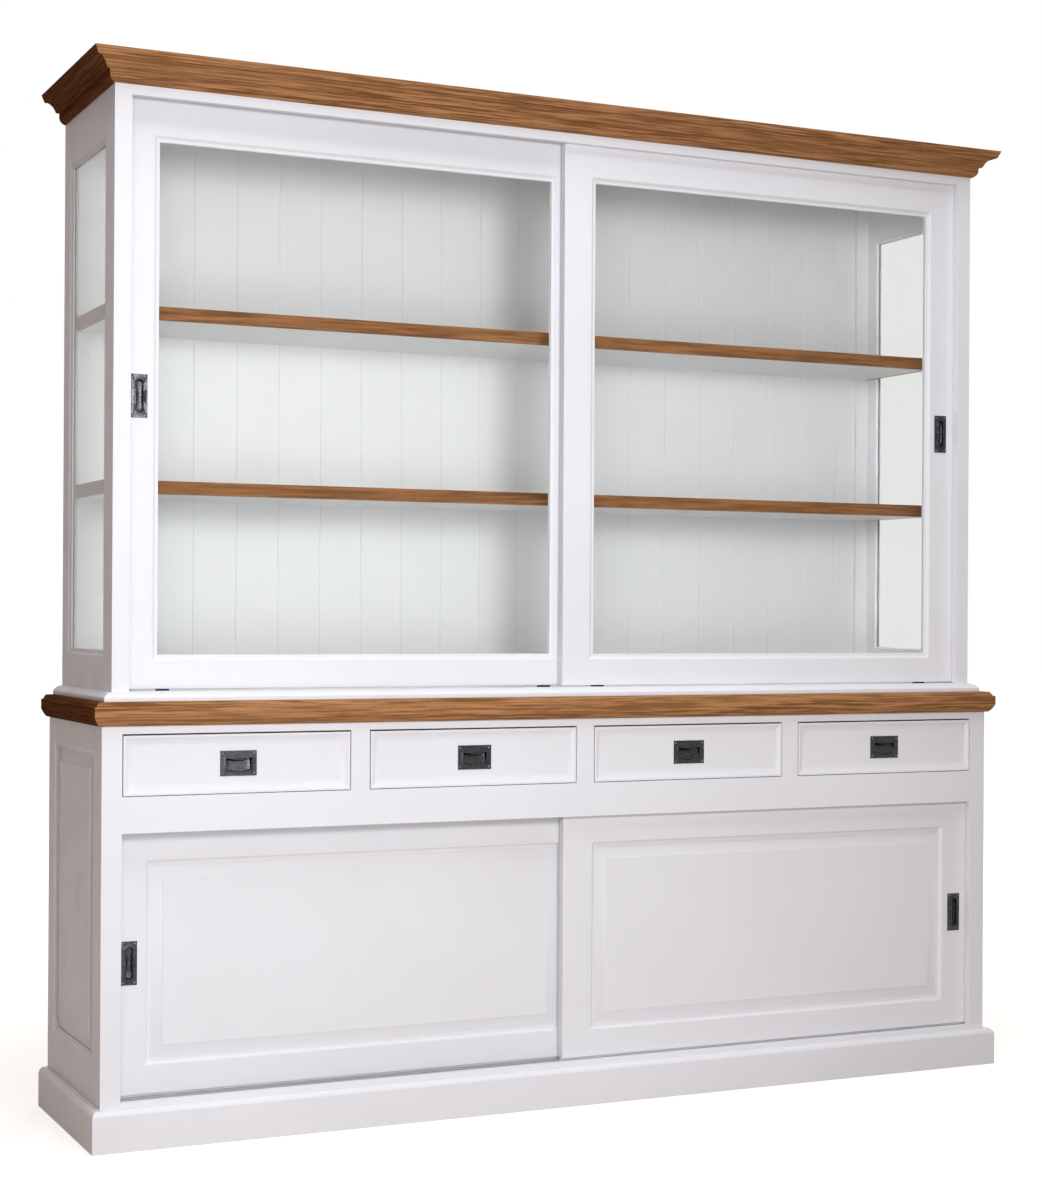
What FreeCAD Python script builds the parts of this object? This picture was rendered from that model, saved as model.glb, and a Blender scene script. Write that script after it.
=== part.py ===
"""Buffet cabinet: a four-drawer base with two sliding doors under a glazed hutch with two more.

Millimetres. The origin is on the floor under the middle of the cabinet's box. The front faces -Y,
+X is the viewer's right and +Z is up.
"""
import FreeCAD, Part

import math
import os

Vector = FreeCAD.Vector

# Overall sizes
overall_depth = 480.0
overall_height = 2200.0
base_width = 2158.0
base_setback = 22.0
hutch_side_setback = 27.0
counter_height = 896.0
counter_thickness = 48.0

# Shared joinery sizes
face_frame_thickness = 16.0
running_gap = 0.3
overrun = 5.0
molding_width = 12.0
panel_float = 1.0

# Plinth boards round the foot of the base
plinth_reach = 20.0
plinth_height = 84.5
plinth_flat_height = 73.0
plinth_top_reach = 11.0
plinth_bow = 1.5

# Base case boards
base_side_thickness = 22.0
base_side_front_stile = 48.0
base_side_back_stile = 54.0
base_side_bottom_rail = 171.0
base_side_top_rail = 53.0
base_side_molding_depth = 7.0
base_floor_top = 82.0
board_thickness = 18.0
base_back_thickness = 8.0
partition_gap = 2.0
base_shelf_height_share = 0.441
base_shelf_setback = 12.0

# Base face frame
base_stile = 42.0
mullion = 42.0
drawer_count = 4
base_top_rail = 16.5
drawer_opening_height = 125.7
mid_rail = 73.8
base_bottom_rail = 94.0

# Raised panels
panel_tongue = 9.0
panel_edge_thickness = 6.0
panel_bevel = 25.0
panel_bevel_rise = 5.0
panel_step = 1.5

# Countertop edge, measured outward from the base case
counter_reach = 19.0
counter_top_reach = 8.0
counter_step_reach = 14.5
counter_ease_height = 9.5
counter_foot_height = 18.0
counter_foot_reach = 7.0

# Hutch base molding
hutch_molding_reach = 20.0
hutch_molding_height = 20.0
hutch_molding_flat = 8.5
hutch_molding_bow = 2.5

# Hutch case boards
hutch_side_thickness = 18.0
hutch_side_front_stile = 54.0
hutch_side_back_stile = 50.0
hutch_side_bottom_rail = 90.0
hutch_side_top_rail = 119.0
hutch_side_molding_depth = 6.0
hutch_floor_thickness = 14.0
hutch_top_drop = 36.0
back_board_thickness = 10.0
back_board_setback = 2.0
back_board_pitch = 100.2
first_back_board = 71.0
back_board_bevel = 3.0
back_post_width = 35.0
back_post_thickness = 10.0

# Hutch face frame
hutch_stile = 36.0
hutch_head_rail = 44.0

# Hutch shelves
lower_shelf_height_share = 0.3568
upper_shelf_height_share = 0.6513
hutch_shelf_thickness = 28.0
hutch_shelf_setback = 132.0
lipping_thickness = 9.0
shelf_end_gap = 1.0
pin_radius = 3.0
pin_length = 9.0
pin_inset = 40.0

# Cornice, measured outward from the hutch case
cornice_reach = 53.0
cornice_height = 60.0
crown_foot_reach = 46.0
crown_height = 16.0
cove_head_reach = 38.5
cove_foot_reach = 21.5
cove_height = 20.0
cove_bow = 3.0
ogee_reach = 14.0
ogee_height = 13.0
ogee_foot_reach = 2.5
ogee_bow = 2.5

# Sliding doors
door_thickness = 20.0
door_frame_gap = 2.0
door_pair_gap = 6.0
door_molding_depth = 8.0
glass_thickness = 4.0
glass_lip = 2.0
glass_rabbet = 8.0
glass_float = 1.0

# Hutch doors, stiles and rails to the molding's outer edge
hutch_door_past_middle = 22.0
hutch_door_stile = 72.0
hutch_door_inner_stile = 67.0
hutch_door_foot_rail = 57.5
hutch_door_head_rail = 76.0
hutch_door_foot_gap = 9.5
hutch_door_end_gap = 5.0
hutch_door_short = 7.0

# Base doors, stiles and rails to the molding's outer edge
base_door_past_middle = 36.5
base_door_stile = 79.5
base_door_inner_stile = 70.0
base_door_foot_rail = 58.0
base_door_head_rail = 67.0
base_door_foot_gap = 5.0
base_door_head_lap = 8.0
base_door_end_gap = 1.0
base_door_short = 7.0

# Door tracks
track_margin = 4.0
tongue_thickness = 8.0
tongue_height = 10.0
groove_side_gap = 0.5
head_track_thickness = 16.0
head_track_gap = 2.0
head_groove_depth = 13.0
foot_track_thickness = 12.0
foot_groove_depth = 7.0
rail_width = 3.0
rail_height = 3.0

# Rollers under the hutch doors
roller_tread_radius = 10.0
roller_flange_radius = 12.0
roller_flange_thickness = 2.0
roller_groove_width = 4.0
axle_radius = 2.0
axle_gap = 0.05
roller_inset = 12.0
roller_side_gap = 0.3
housing_length = 25.0
housing_cheek = 1.2
housing_height = 24.0
housing_drop = 5.5
housing_top_gap = 1.5

# Drawers
drawer_front_thickness = 22.0
drawer_head_gap = 2.5
drawer_foot_gap = 1.5
drawer_side_gap = 2.0
drawer_rim = 5.0
drawer_slope_width = 16.0
drawer_slope_depth = 7.0
drawer_box_back_gap = 58.0
drawer_box_head_gap = 26.9
drawer_box_board = 12.0
drawer_box_side_gap = 4.0
drawer_bottom_thickness = 6.0
drawer_bottom_lift = 6.0
runner_height = 2.5
runner_width = 14.0
guide_height = 24.0
guide_side_gap = 1.5
divider_thickness = 16.0
guide_back_gap = 6.0
guide_front_gap = 2.0

# Recessed pulls
pull_plate = 1.5
pull_wall = 1.0
pull_depth = 11.0
pull_pocket_gap = 0.5
screw_radius = 2.4
screw_rise = 0.8
screw_slot = 0.7
door_pull_width = 34.0
door_pull_height = 89.0
door_pull_recess_width = 19.0
door_pull_recess_height = 68.0
door_pull_lip = 3.5
door_pull_waist = 2.5
door_screw_inset = 5.0
hutch_pull_height_share = 0.4947
base_pull_height_share = 0.4934
drawer_pull_width = 78.0
drawer_pull_height = 52.0
drawer_pull_recess_width = 56.0
drawer_pull_recess_height = 37.0
drawer_pull_lip = 7.0
drawer_pull_bow = 4.0
drawer_pull_belly = 5.0
drawer_screw_inset = 5.5

# Places that follow from the sizes above, across the cabinet
base_half = base_width / 2
base_inner = base_half - base_side_thickness
base_opening_half = base_half - base_stile
drawer_opening_width = (2 * base_opening_half - (drawer_count - 1) * mullion) / drawer_count
hutch_half = base_half - hutch_side_setback
hutch_inner = hutch_half - hutch_side_thickness
hutch_opening_half = hutch_half - hutch_stile
hutch_door_width = hutch_inner + hutch_door_past_middle
base_door_width = base_inner + base_door_past_middle

# Places from front to back
back = overall_depth / 2
base_front = base_setback - back
hutch_front = cornice_reach - back
track_depth = door_frame_gap + 2 * door_thickness + door_pair_gap + track_margin
partition_setback = track_depth + partition_gap
boards_front = back - back_board_setback - back_board_thickness
posts_front = boards_front - back_post_thickness
base_back_front = back - base_back_thickness

# Heights in the base
counter_foot = counter_height - counter_thickness
drawer_opening_head = counter_foot - base_top_rail
drawer_opening_foot = drawer_opening_head - drawer_opening_height
divider_foot = drawer_opening_foot - divider_thickness
door_opening_head = drawer_opening_foot - mid_rail
base_door_head = door_opening_head + base_door_head_lap
base_door_foot = base_floor_top + foot_track_thickness + base_door_foot_gap
base_pull_height = base_door_foot + base_pull_height_share * (base_door_head - base_door_foot)
base_shelf_foot = base_floor_top + base_shelf_height_share * (divider_foot - base_floor_top)
drawer_box_foot = drawer_opening_foot + runner_height + running_gap
drawer_box_head = drawer_opening_head - drawer_box_head_gap

# Heights in the hutch
hutch_floor_top = counter_height + hutch_floor_thickness
hutch_opening_foot = counter_height + hutch_molding_height
hutch_top_height = overall_height - hutch_top_drop
hutch_opening_head = hutch_top_height - hutch_head_rail
hutch_top_foot = hutch_top_height - board_thickness
hutch_track_foot = hutch_top_foot - head_track_thickness
hutch_door_foot = hutch_floor_top + hutch_door_foot_gap
hutch_door_head = hutch_track_foot - head_track_gap
hutch_pull_height = hutch_door_foot + hutch_pull_height_share * (hutch_door_head - hutch_door_foot)
cornice_foot = overall_height - cornice_height
roller_height = hutch_floor_top + rail_height + running_gap + roller_tread_radius


def box(across, deep, up):
    """A board between three (low, high) pairs along X, Y and Z."""
    size = (across[1] - across[0], deep[1] - deep[0], up[1] - up[0])
    return Part.makeBox(*size, Vector(across[0], deep[0], up[0]))


def grown(span, amount):
    """A (low, high) pair made longer by the amount at each end, or shorter if it is negative."""
    return (span[0] - amount, span[1] + amount)


def mirrored(span, side):
    """A (low, high) pair on the +X side, or its mirror image on the -X side."""
    return span if side > 0 else (-span[1], -span[0])


def rectangle(axis, level, across, up):
    """A closed rectangle that faces along Y (across is X) or along X (across is Y)."""
    corners = [(across[0], up[0]), (across[1], up[0]), (across[1], up[1]), (across[0], up[1])]
    if axis == "y":
        points = [Vector(along, level, height) for along, height in corners]
    else:
        points = [Vector(level, along, height) for along, height in corners]
    return Part.makePolygon(points + points[:1])


def taper(axis, near, far, across, up, inset):
    """A solid that narrows by the inset on all four sides between two levels."""
    wires = [
        rectangle(axis, near, across, up),
        rectangle(axis, far, grown(across, -inset), grown(up, -inset)),
    ]
    return Part.makeLoft(wires, True, True)


def closed_wire(start, steps, place):
    """A closed outline. A step is a point, or a pair of points for an arc through the first."""
    edges = []
    here = start
    for step in steps + [start]:
        if isinstance(step[0], tuple):
            through, end = step
            edges.append(Part.Arc(place(*here), place(*through), place(*end)).toShape())
        else:
            end = step
            edges.append(Part.makeLine(place(*here), place(*end)))
        here = end
    return Part.Wire(edges)


def bowed(first, second, bow):
    """The middle of an arc between two outline points, set off to the left of the way there."""
    run, rise = second[0] - first[0], second[1] - first[1]
    length = math.hypot(run, rise)
    middle = ((first[0] + second[0]) / 2, (first[1] + second[1]) / 2)
    return (middle[0] - rise / length * bow, middle[1] + run / length * bow)


def plan_prism(points, up):
    """An upright prism on a plan outline."""
    corners = [Vector(along, deep, up[0]) for along, deep in points]
    return Part.Face(Part.makePolygon(corners + corners[:1])).extrude(Vector(0, 0, up[1] - up[0]))


def front_molding(outline, half, front, reach, up):
    """A molding along the front with mitred ends. The outline gives reach and height."""
    start, steps = outline
    wire = closed_wire(start, steps, lambda out, height: Vector(-half - reach, front - out, height))
    bar = Part.Face(wire).extrude(Vector(2 * (half + reach), 0, 0))
    plan = [
        (-half - reach, front - reach),
        (half + reach, front - reach),
        (half, front),
        (-half, front),
    ]
    return bar.common(plan_prism(plan, up))


def side_molding(outline, half, front, reach, up, side):
    """A molding along one end with its front end mitred to meet the front molding."""
    start, steps = outline
    wire = closed_wire(start, steps, lambda out, height: Vector(side * (half + out), front - reach, height))
    bar = Part.Face(wire).extrude(Vector(0, back - front + reach, 0))
    plan = [
        (side * (half + reach), front - reach),
        (side * (half + reach), back),
        (side * half, back),
        (side * half, front),
    ]
    return bar.common(plan_prism(plan, up))


def frame_boards(axis, level, across, up, stiles, rails):
    """Two stiles and the two rails between them. Level is the pair of faces along the axis."""
    left, right = stiles
    foot, head = rails
    inside = (across[0] + left, across[1] - right)
    spans = [
        ((across[0], inside[0]), up),
        ((inside[1], across[1]), up),
        (inside, (up[0], up[0] + foot)),
        (inside, (up[1] - head, up[1])),
    ]
    if axis == "y":
        return [box(along, level, height) for along, height in spans]
    return [box(level, along, height) for along, height in spans]


def cut_all(boards, *tools):
    """The boards with every tool cut away."""
    result = []
    for board in boards:
        for tool in tools:
            board = board.cut(tool)
        result += board.Solids
    return result


def sloped_opening(axis, face, inward, depth, across, up):
    """The cutter for an opening whose edges slope in by the molding's width over its depth."""
    share = (depth + overrun) / depth
    return taper(
        axis,
        face - inward * overrun,
        face + inward * depth,
        grown(across, molding_width * (share - 1)),
        grown(up, molding_width * (share - 1)),
        molding_width * share,
    )


def raised_panel(axis, rear, outward, across, up):
    """A panel with a tongue in the frame's grooves, a bevel and a raised field.

    Rear is the tongue's rear face, outward is the way the field looks, and the spans are those
    of the opening at the molding's inner edge.
    """
    edge = rear + outward * panel_edge_thickness
    crest = edge + outward * panel_bevel_rise
    field = crest + outward * panel_step
    tongue = [grown(across, panel_tongue), grown(up, panel_tongue)]
    inner = [grown(across, -panel_bevel), grown(up, -panel_bevel)]
    slab_level = tuple(sorted((rear, edge)))
    field_level = tuple(sorted((edge, field)))
    if axis == "y":
        slab = box(tongue[0], slab_level, tongue[1])
        middle = box(inner[0], field_level, inner[1])
    else:
        slab = box(slab_level, tongue[0], tongue[1])
        middle = box(field_level, inner[0], inner[1])
    bevel = taper(axis, edge, crest, across, up, panel_bevel)
    return slab.fuse([bevel, middle]).removeSplitter()


def sheet(axis, level, across, up):
    """A flat sheet, such as a pane, that faces along X or Y."""
    if axis == "y":
        return box(across, level, up)
    return box(level, across, up)


def beads(axis, level, across, up, width):
    """Four strips that hold a pane in its rabbet: two upright and two between them."""
    return frame_boards(axis, level, across, up, (width, width), (width, width))


def glazed_frame(axis, face, inward, thickness, depth, across, up, stiles, rails):
    """A frame's boards with a sloped molding and a rabbet, its pane, and the pane's beads.

    The frame's stiles and rails run to the molding's outer edge, and carry its width besides.
    """
    level = tuple(sorted((face, face + inward * thickness)))
    full_stiles = tuple(width + molding_width for width in stiles)
    full_rails = tuple(width + molding_width for width in rails)
    flat = ((across[0] + stiles[0], across[1] - stiles[1]), (up[0] + rails[0], up[1] - rails[1]))
    sight = [grown(span, -molding_width) for span in flat]
    seat = [grown(span, glass_rabbet) for span in sight]
    pane_front = face + inward * (depth + glass_lip)
    pane_rear = pane_front + inward * glass_thickness
    rabbet_level = tuple(sorted((pane_front, face + inward * (thickness + overrun))))
    boards = frame_boards(axis, level, across, up, full_stiles, full_rails)
    slope = sloped_opening(axis, face, inward, depth, *flat)
    frame = cut_all(boards, slope, sheet(axis, rabbet_level, *seat))
    pane_level = tuple(sorted((pane_front, pane_rear)))
    pane = sheet(axis, pane_level, *[grown(span, -glass_float) for span in seat])
    bead_level = tuple(sorted((pane_rear, face + inward * thickness)))
    strips = beads(axis, bead_level, seat[0], seat[1], glass_rabbet)
    return frame, pane, strips


def panelled_frame(axis, face, inward, thickness, depth, across, up, stiles, rails):
    """A frame's boards with a sloped molding and a groove, and the raised panel in it."""
    level = tuple(sorted((face, face + inward * thickness)))
    full_stiles = tuple(width + molding_width for width in stiles)
    full_rails = tuple(width + molding_width for width in rails)
    flat = ((across[0] + stiles[0], across[1] - stiles[1]), (up[0] + rails[0], up[1] - rails[1]))
    sight = [grown(span, -molding_width) for span in flat]
    groove_front = face + inward * (depth + panel_float)
    groove_rear = groove_front + inward * panel_edge_thickness
    groove_level = tuple(sorted((groove_front, groove_rear)))
    groove = sheet(axis, groove_level, *[grown(span, panel_tongue + panel_float) for span in sight])
    boards = frame_boards(axis, level, across, up, full_stiles, full_rails)
    slope = sloped_opening(axis, face, inward, depth, *flat)
    panel = raised_panel(axis, groove_rear, -inward, *sight)
    return cut_all(boards, slope, groove), panel


# Plinth and base case


def plinth_outline():
    """A board with a rounded upper edge."""
    shoulder = (plinth_reach, plinth_flat_height)
    crest = (plinth_top_reach, plinth_height)
    return (0, 0), [
        (plinth_reach, 0),
        shoulder,
        (bowed(shoulder, crest, -plinth_bow), crest),
        (0, plinth_height),
    ]


def plinth():
    """A board along the front and one along each end, mitred at the corners."""
    place = (plinth_outline(), base_half, base_front, plinth_reach, (0, plinth_height))
    return [front_molding(*place)] + [side_molding(*place, side) for side in (-1, 1)]


def base_side(side):
    """One framed end of the base: its boards and its raised panel."""
    deep = (base_front + face_frame_thickness, back)
    stiles = (base_side_front_stile, base_side_back_stile)
    rails = (base_side_bottom_rail, base_side_top_rail)
    return panelled_frame(
        "x",
        side * base_half,
        -side,
        base_side_thickness,
        base_side_molding_depth,
        deep,
        (0, counter_foot),
        stiles,
        rails,
    )


def base_face_frame():
    """Stiles, three rails and the mullions between the drawers."""
    deep = (base_front, base_front + face_frame_thickness)
    inside = (-base_opening_half, base_opening_half)
    stile = (base_opening_half, base_half)
    boards = [box(mirrored(stile, side), deep, (0, counter_foot)) for side in (-1, 1)]
    boards.append(box(inside, deep, (drawer_opening_head, counter_foot)))
    boards.append(box(inside, deep, (door_opening_head, drawer_opening_foot)))
    boards.append(box(inside, deep, (0, base_bottom_rail)))
    for index in range(1, drawer_count):
        low = drawer_low(index) - mullion
        boards.append(box((low, low + mullion), deep, (drawer_opening_foot, drawer_opening_head)))
    return boards


def base_deep(setback=0):
    """From behind the face frame, or further in, to the back panel."""
    return (base_front + face_frame_thickness + setback, base_back_front)


def base_floor():
    across = (-base_inner, base_inner)
    return [box(across, base_deep(), (base_floor_top - board_thickness, base_floor_top))]


def base_back_panel():
    foot = base_floor_top - board_thickness
    return [box((-base_inner, base_inner), (base_back_front, back), (foot, counter_foot))]


def base_partition():
    across = (-board_thickness / 2, board_thickness / 2)
    return [box(across, base_deep(partition_setback), (base_floor_top, divider_foot))]


def base_shelf_span(side):
    """The shelf's length on one side of the partition, less its end gaps."""
    span = (board_thickness / 2, base_inner)
    return mirrored(grown(span, -shelf_end_gap), side)


def base_shelves():
    up = (base_shelf_foot, base_shelf_foot + board_thickness)
    deep = base_deep(partition_setback + base_shelf_setback)
    return [box(base_shelf_span(side), deep, up) for side in (-1, 1)]


# Drawer bay


def drawer_low(index):
    """The left edge of a drawer's opening, counted from the left."""
    return -base_opening_half + index * (drawer_opening_width + mullion)


def drawer_divider():
    return [box((-base_inner, base_inner), base_deep(), (divider_foot, drawer_opening_foot))]


def guide_edges():
    """The (low, high) spans of the guides behind the stiles and mullions."""
    spans = []
    for index in range(drawer_count + 1):
        low = -base_inner if index == 0 else drawer_low(index) - mullion
        high = base_inner if index == drawer_count else drawer_low(index)
        spans.append((low, high))
    margin = drawer_box_side_gap - guide_side_gap
    first = (spans[0][0], spans[0][1] + margin)
    last = (spans[-1][0] - margin, spans[-1][1])
    return [first] + [grown(span, margin) for span in spans[1:-1]] + [last]


def drawer_guides():
    """Guides beside the drawer boxes, and runners under their sides."""
    front = base_front + drawer_front_thickness + guide_front_gap
    deep = (front, base_deep()[1] - guide_back_gap)
    foot = drawer_opening_foot
    solids = [box(span, deep, (foot, foot + guide_height)) for span in guide_edges()]
    for index in range(drawer_count):
        low = drawer_low(index) + drawer_box_side_gap
        high = drawer_low(index) + drawer_opening_width - drawer_box_side_gap
        for span in ((low, low + runner_width), (high - runner_width, high)):
            solids.append(box(span, deep, (foot, foot + runner_height)))
    return solids


def drawer_front(index):
    """A front with a flat rim, a slope and a sunk field, pocketed for its pull."""
    low = drawer_low(index)
    across = (low + drawer_side_gap, low + drawer_opening_width - drawer_side_gap)
    up = (drawer_opening_foot + drawer_foot_gap, drawer_opening_head - drawer_head_gap)
    blank = box(across, (base_front, base_front + drawer_front_thickness), up)
    rim = [grown(span, -drawer_rim) for span in (across, up)]
    hollow = taper("y", base_front, base_front + drawer_slope_depth, *rim, drawer_slope_width)
    field = base_front + drawer_slope_depth
    middle = drawer_pull_place(index)
    return [blank.cut(hollow).cut(drawer_pull_pocket(middle, field))]


def drawer_pull_place(index):
    """The middle of a drawer's front."""
    along = drawer_low(index) + drawer_opening_width / 2
    foot = drawer_opening_foot + drawer_foot_gap
    head = drawer_opening_head - drawer_head_gap
    return (along, (foot + head) / 2)


def drawer_box(index):
    """Two sides, an inner front, a back and a bottom, all square-edged boards."""
    low = drawer_low(index) + drawer_box_side_gap
    high = drawer_low(index) + drawer_opening_width - drawer_box_side_gap
    front = base_front + drawer_front_thickness
    rear = base_back_front - drawer_box_back_gap
    up = (drawer_box_foot, drawer_box_head)
    inner = (low + drawer_box_board, high - drawer_box_board)
    middle = (front + drawer_box_board, rear - drawer_box_board)
    bottom = drawer_box_foot + drawer_bottom_lift
    return [
        box((low, inner[0]), (front, rear), up),
        box((inner[1], high), (front, rear), up),
        box(inner, (front, middle[0]), up),
        box(inner, (middle[1], rear), up),
        box(inner, middle, (bottom, bottom + drawer_bottom_thickness)),
    ]


# Countertop


def counter_outline():
    """A stepped upper edge over a flat band and a sloped lower edge."""
    eased = counter_height - counter_ease_height
    return (0, counter_foot), [
        (counter_foot_reach, counter_foot),
        (counter_reach, counter_foot + counter_foot_height),
        (counter_reach, eased),
        (counter_step_reach, eased),
        (counter_top_reach, counter_height),
        (0, counter_height),
    ]


def countertop():
    up = (counter_foot, counter_height)
    core = box((-base_half, base_half), (base_front, back), up)
    edges = [front_molding(counter_outline(), base_half, base_front, counter_reach, up)]
    for side in (-1, 1):
        edges.append(side_molding(counter_outline(), base_half, base_front, counter_reach, up, side))
    return [core.fuse(edges).removeSplitter()]


# Hutch case


def hutch_molding_outline():
    """A low board with a rounded top that covers the joint with the countertop."""
    shoulder = (hutch_molding_reach, counter_height + hutch_molding_flat)
    crest = (0, counter_height + hutch_molding_height)
    arc = (bowed(shoulder, crest, -hutch_molding_bow), crest)
    return (0, counter_height), [(hutch_molding_reach, counter_height), shoulder, arc]


def hutch_base_molding():
    up = (counter_height, counter_height + hutch_molding_height)
    place = (hutch_molding_outline(), hutch_half, hutch_front, hutch_molding_reach, up)
    return [front_molding(*place)] + [side_molding(*place, side) for side in (-1, 1)]


def hutch_side(side):
    """One glazed end of the hutch: its boards, pane and beads."""
    deep = (hutch_front + face_frame_thickness, back)
    stiles = (hutch_side_front_stile, hutch_side_back_stile)
    rails = (hutch_side_bottom_rail, hutch_side_top_rail)
    return glazed_frame(
        "x",
        side * hutch_half,
        -side,
        hutch_side_thickness,
        hutch_side_molding_depth,
        deep,
        (counter_height, hutch_top_height),
        stiles,
        rails,
    )


def hutch_face_frame():
    """Stiles and two rails round the door opening."""
    deep = (hutch_front, hutch_front + face_frame_thickness)
    across = (-hutch_half, hutch_half)
    up = (counter_height, hutch_top_height)
    rails = (hutch_opening_foot - counter_height, hutch_top_height - hutch_opening_head)
    return frame_boards("y", deep, across, up, (hutch_stile, hutch_stile), rails)


def hutch_deep():
    """From behind the face frame to the cabinet's back."""
    return (hutch_front + face_frame_thickness, back)


def hutch_floor():
    return [box((-hutch_inner, hutch_inner), hutch_deep(), (counter_height, hutch_floor_top))]


def hutch_top():
    return [box((-hutch_inner, hutch_inner), hutch_deep(), (hutch_top_foot, hutch_top_height))]


def back_board(across, first, last):
    """One upright back board with its front edges bevelled where it meets a neighbour."""
    rear = boards_front + back_board_thickness
    low, high = across
    left = 0 if first else back_board_bevel
    right = 0 if last else back_board_bevel
    plan = [(low, rear), (low, boards_front + left), (low + left, boards_front)]
    plan += [(high - right, boards_front), (high, boards_front + right), (high, rear)]
    corners = [point for index, point in enumerate(plan) if index == 0 or point != plan[index - 1]]
    return plan_prism(corners, (hutch_floor_top, hutch_top_foot))


def hutch_back_boards():
    """A narrow first board, then full boards, then what is left of the width."""
    edges = [-hutch_inner, -hutch_inner + first_back_board]
    while edges[-1] + back_board_pitch < hutch_inner:
        edges.append(edges[-1] + back_board_pitch)
    edges.append(hutch_inner)
    pairs = list(zip(edges[:-1], edges[1:]))
    return [back_board(pair, index == 0, index == len(pairs) - 1) for index, pair in enumerate(pairs)]


def hutch_back_posts():
    """A strip up each back corner, in front of the boards."""
    deep = (posts_front, boards_front)
    span = (hutch_inner - back_post_width, hutch_inner)
    return [box(mirrored(span, side), deep, (hutch_floor_top, hutch_top_foot)) for side in (-1, 1)]


def shelf_tops():
    """The upper faces of the hutch's shelves, shared out over its clear height."""
    clear = hutch_top_foot - hutch_floor_top
    return [hutch_floor_top + share * clear for share in (lower_shelf_height_share, upper_shelf_height_share)]


def shelf_spans(top):
    """A hutch shelf's outer spans, lippings included."""
    across = grown((-hutch_inner, hutch_inner), -shelf_end_gap)
    deep = (hutch_front + hutch_shelf_setback, boards_front)
    return across, deep, (top - hutch_shelf_thickness, top)


def hutch_shelf(top):
    """A board that is screwed on from behind and notched round the back posts."""
    across, deep, up = shelf_spans(top)
    core = grown(across, -lipping_thickness)
    board = box(core, (deep[0] + lipping_thickness, deep[1]), up)
    for side in (-1, 1):
        notch = mirrored((hutch_inner - back_post_width, hutch_inner), side)
        board = board.cut(box(notch, (posts_front, boards_front + overrun), grown(up, overrun)))
    return board


def shelf_lippings():
    """An oak strip along the front and both ends of each hutch shelf."""
    solids = []
    for top in shelf_tops():
        across, deep, up = shelf_spans(top)
        ends = (deep[0] + lipping_thickness, posts_front)
        solids.append(box(across, (deep[0], ends[0]), up))
        solids.append(box((across[0], across[0] + lipping_thickness), ends, up))
        solids.append(box((across[1] - lipping_thickness, across[1]), ends, up))
    return solids


def pin(along, deep, top, side):
    """A round peg that stands out of an end board and carries a shelf."""
    start = Vector(along, deep, top - pin_radius)
    return Part.makeCylinder(pin_radius, pin_length, start, Vector(side, 0, 0))


def shelf_pins():
    """Four pegs under each half of the base shelf."""
    solids = []
    deep = base_deep(partition_setback + base_shelf_setback)
    for side in (-1, 1):
        for place in (deep[0] + pin_inset, deep[1] - pin_inset):
            solids.append(pin(side * base_inner, place, base_shelf_foot, -side))
            solids.append(pin(side * board_thickness / 2, place, base_shelf_foot, side))
    return solids


# Cornice


def cornice_outline():
    """A slanting crown, a step, a cove, a step and a rounded foot."""
    crown_foot = overall_height - crown_height
    cove_foot = crown_foot - cove_height
    ogee_foot = cornice_foot
    cove_head = (cove_head_reach, crown_foot)
    cove_end = (cove_foot_reach, cove_foot)
    ogee_head = (ogee_reach, cove_foot - ogee_height + ogee_foot_reach)
    ogee_end = (ogee_foot_reach, ogee_foot)
    return (0, ogee_foot), [
        ogee_end,
        (bowed(ogee_end, ogee_head, -ogee_bow), ogee_head),
        (ogee_reach, cove_foot),
        cove_end,
        (bowed(cove_end, cove_head, cove_bow), cove_head),
        (crown_foot_reach, crown_foot),
        (cornice_reach, overall_height),
        (0, overall_height),
    ]


def cornice():
    """A molding along the front and one along each end, mitred at the corners."""
    place = (cornice_outline(), hutch_half, hutch_front, cornice_reach, (cornice_foot, overall_height))
    return [front_molding(*place)] + [side_molding(*place, side) for side in (-1, 1)]


# Doors


def door_face(front, side):
    """The front face of a door: the right door runs in front, the left door behind it."""
    face = front + face_frame_thickness + door_frame_gap
    return face if side > 0 else face + door_thickness + door_pair_gap


def door_middle(front, side):
    return door_face(front, side) + door_thickness / 2


def door_across(inner, end_gap, width, short, side):
    """A door's span: the left door is home, the right door stands a little short of its stop."""
    if side < 0:
        return (-inner + end_gap, -inner + end_gap + width)
    return (inner - end_gap - short - width, inner - end_gap - short)


def hutch_door_across(side):
    return door_across(hutch_inner, hutch_door_end_gap, hutch_door_width, hutch_door_short, side)


def base_door_across(side):
    return door_across(base_inner, base_door_end_gap, base_door_width, base_door_short, side)


def door_stiles(outer, inner, side):
    """A door's left and right stile: the outer one is wider than the one at the middle."""
    return (outer, inner) if side < 0 else (inner, outer)


def stile_middle(across, stile, side):
    """The middle of a door's outer stile and its molding, where its pull sits."""
    if side < 0:
        return across[0] + (stile + molding_width) / 2
    return across[1] - (stile + molding_width) / 2


def tongue(across, middle, up):
    """The thin edge of a door that runs in a groove."""
    return box(across, (middle - tongue_thickness / 2, middle + tongue_thickness / 2), up)


def hutch_door(side):
    """A glazed door: its boards and beads, and its pane."""
    across = hutch_door_across(side)
    face = door_face(hutch_front, side)
    stiles = door_stiles(hutch_door_stile, hutch_door_inner_stile, side)
    rails = (hutch_door_foot_rail, hutch_door_head_rail)
    up = (hutch_door_foot, hutch_door_head)
    boards, pane, strips = glazed_frame(
        "y", face, 1, door_thickness, door_molding_depth, across, up, stiles, rails
    )
    middle = door_middle(hutch_front, side)
    head = tongue(across, middle, (hutch_door_head, hutch_door_head + tongue_height))
    place = (stile_middle(across, hutch_door_stile, side), hutch_pull_height)
    tools = [door_pull_pocket(place, face)]
    tools += [roller_pocket(along, side) for along in roller_places(side)]
    return cut_all(boards, *tools) + strips + [head], pane


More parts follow.
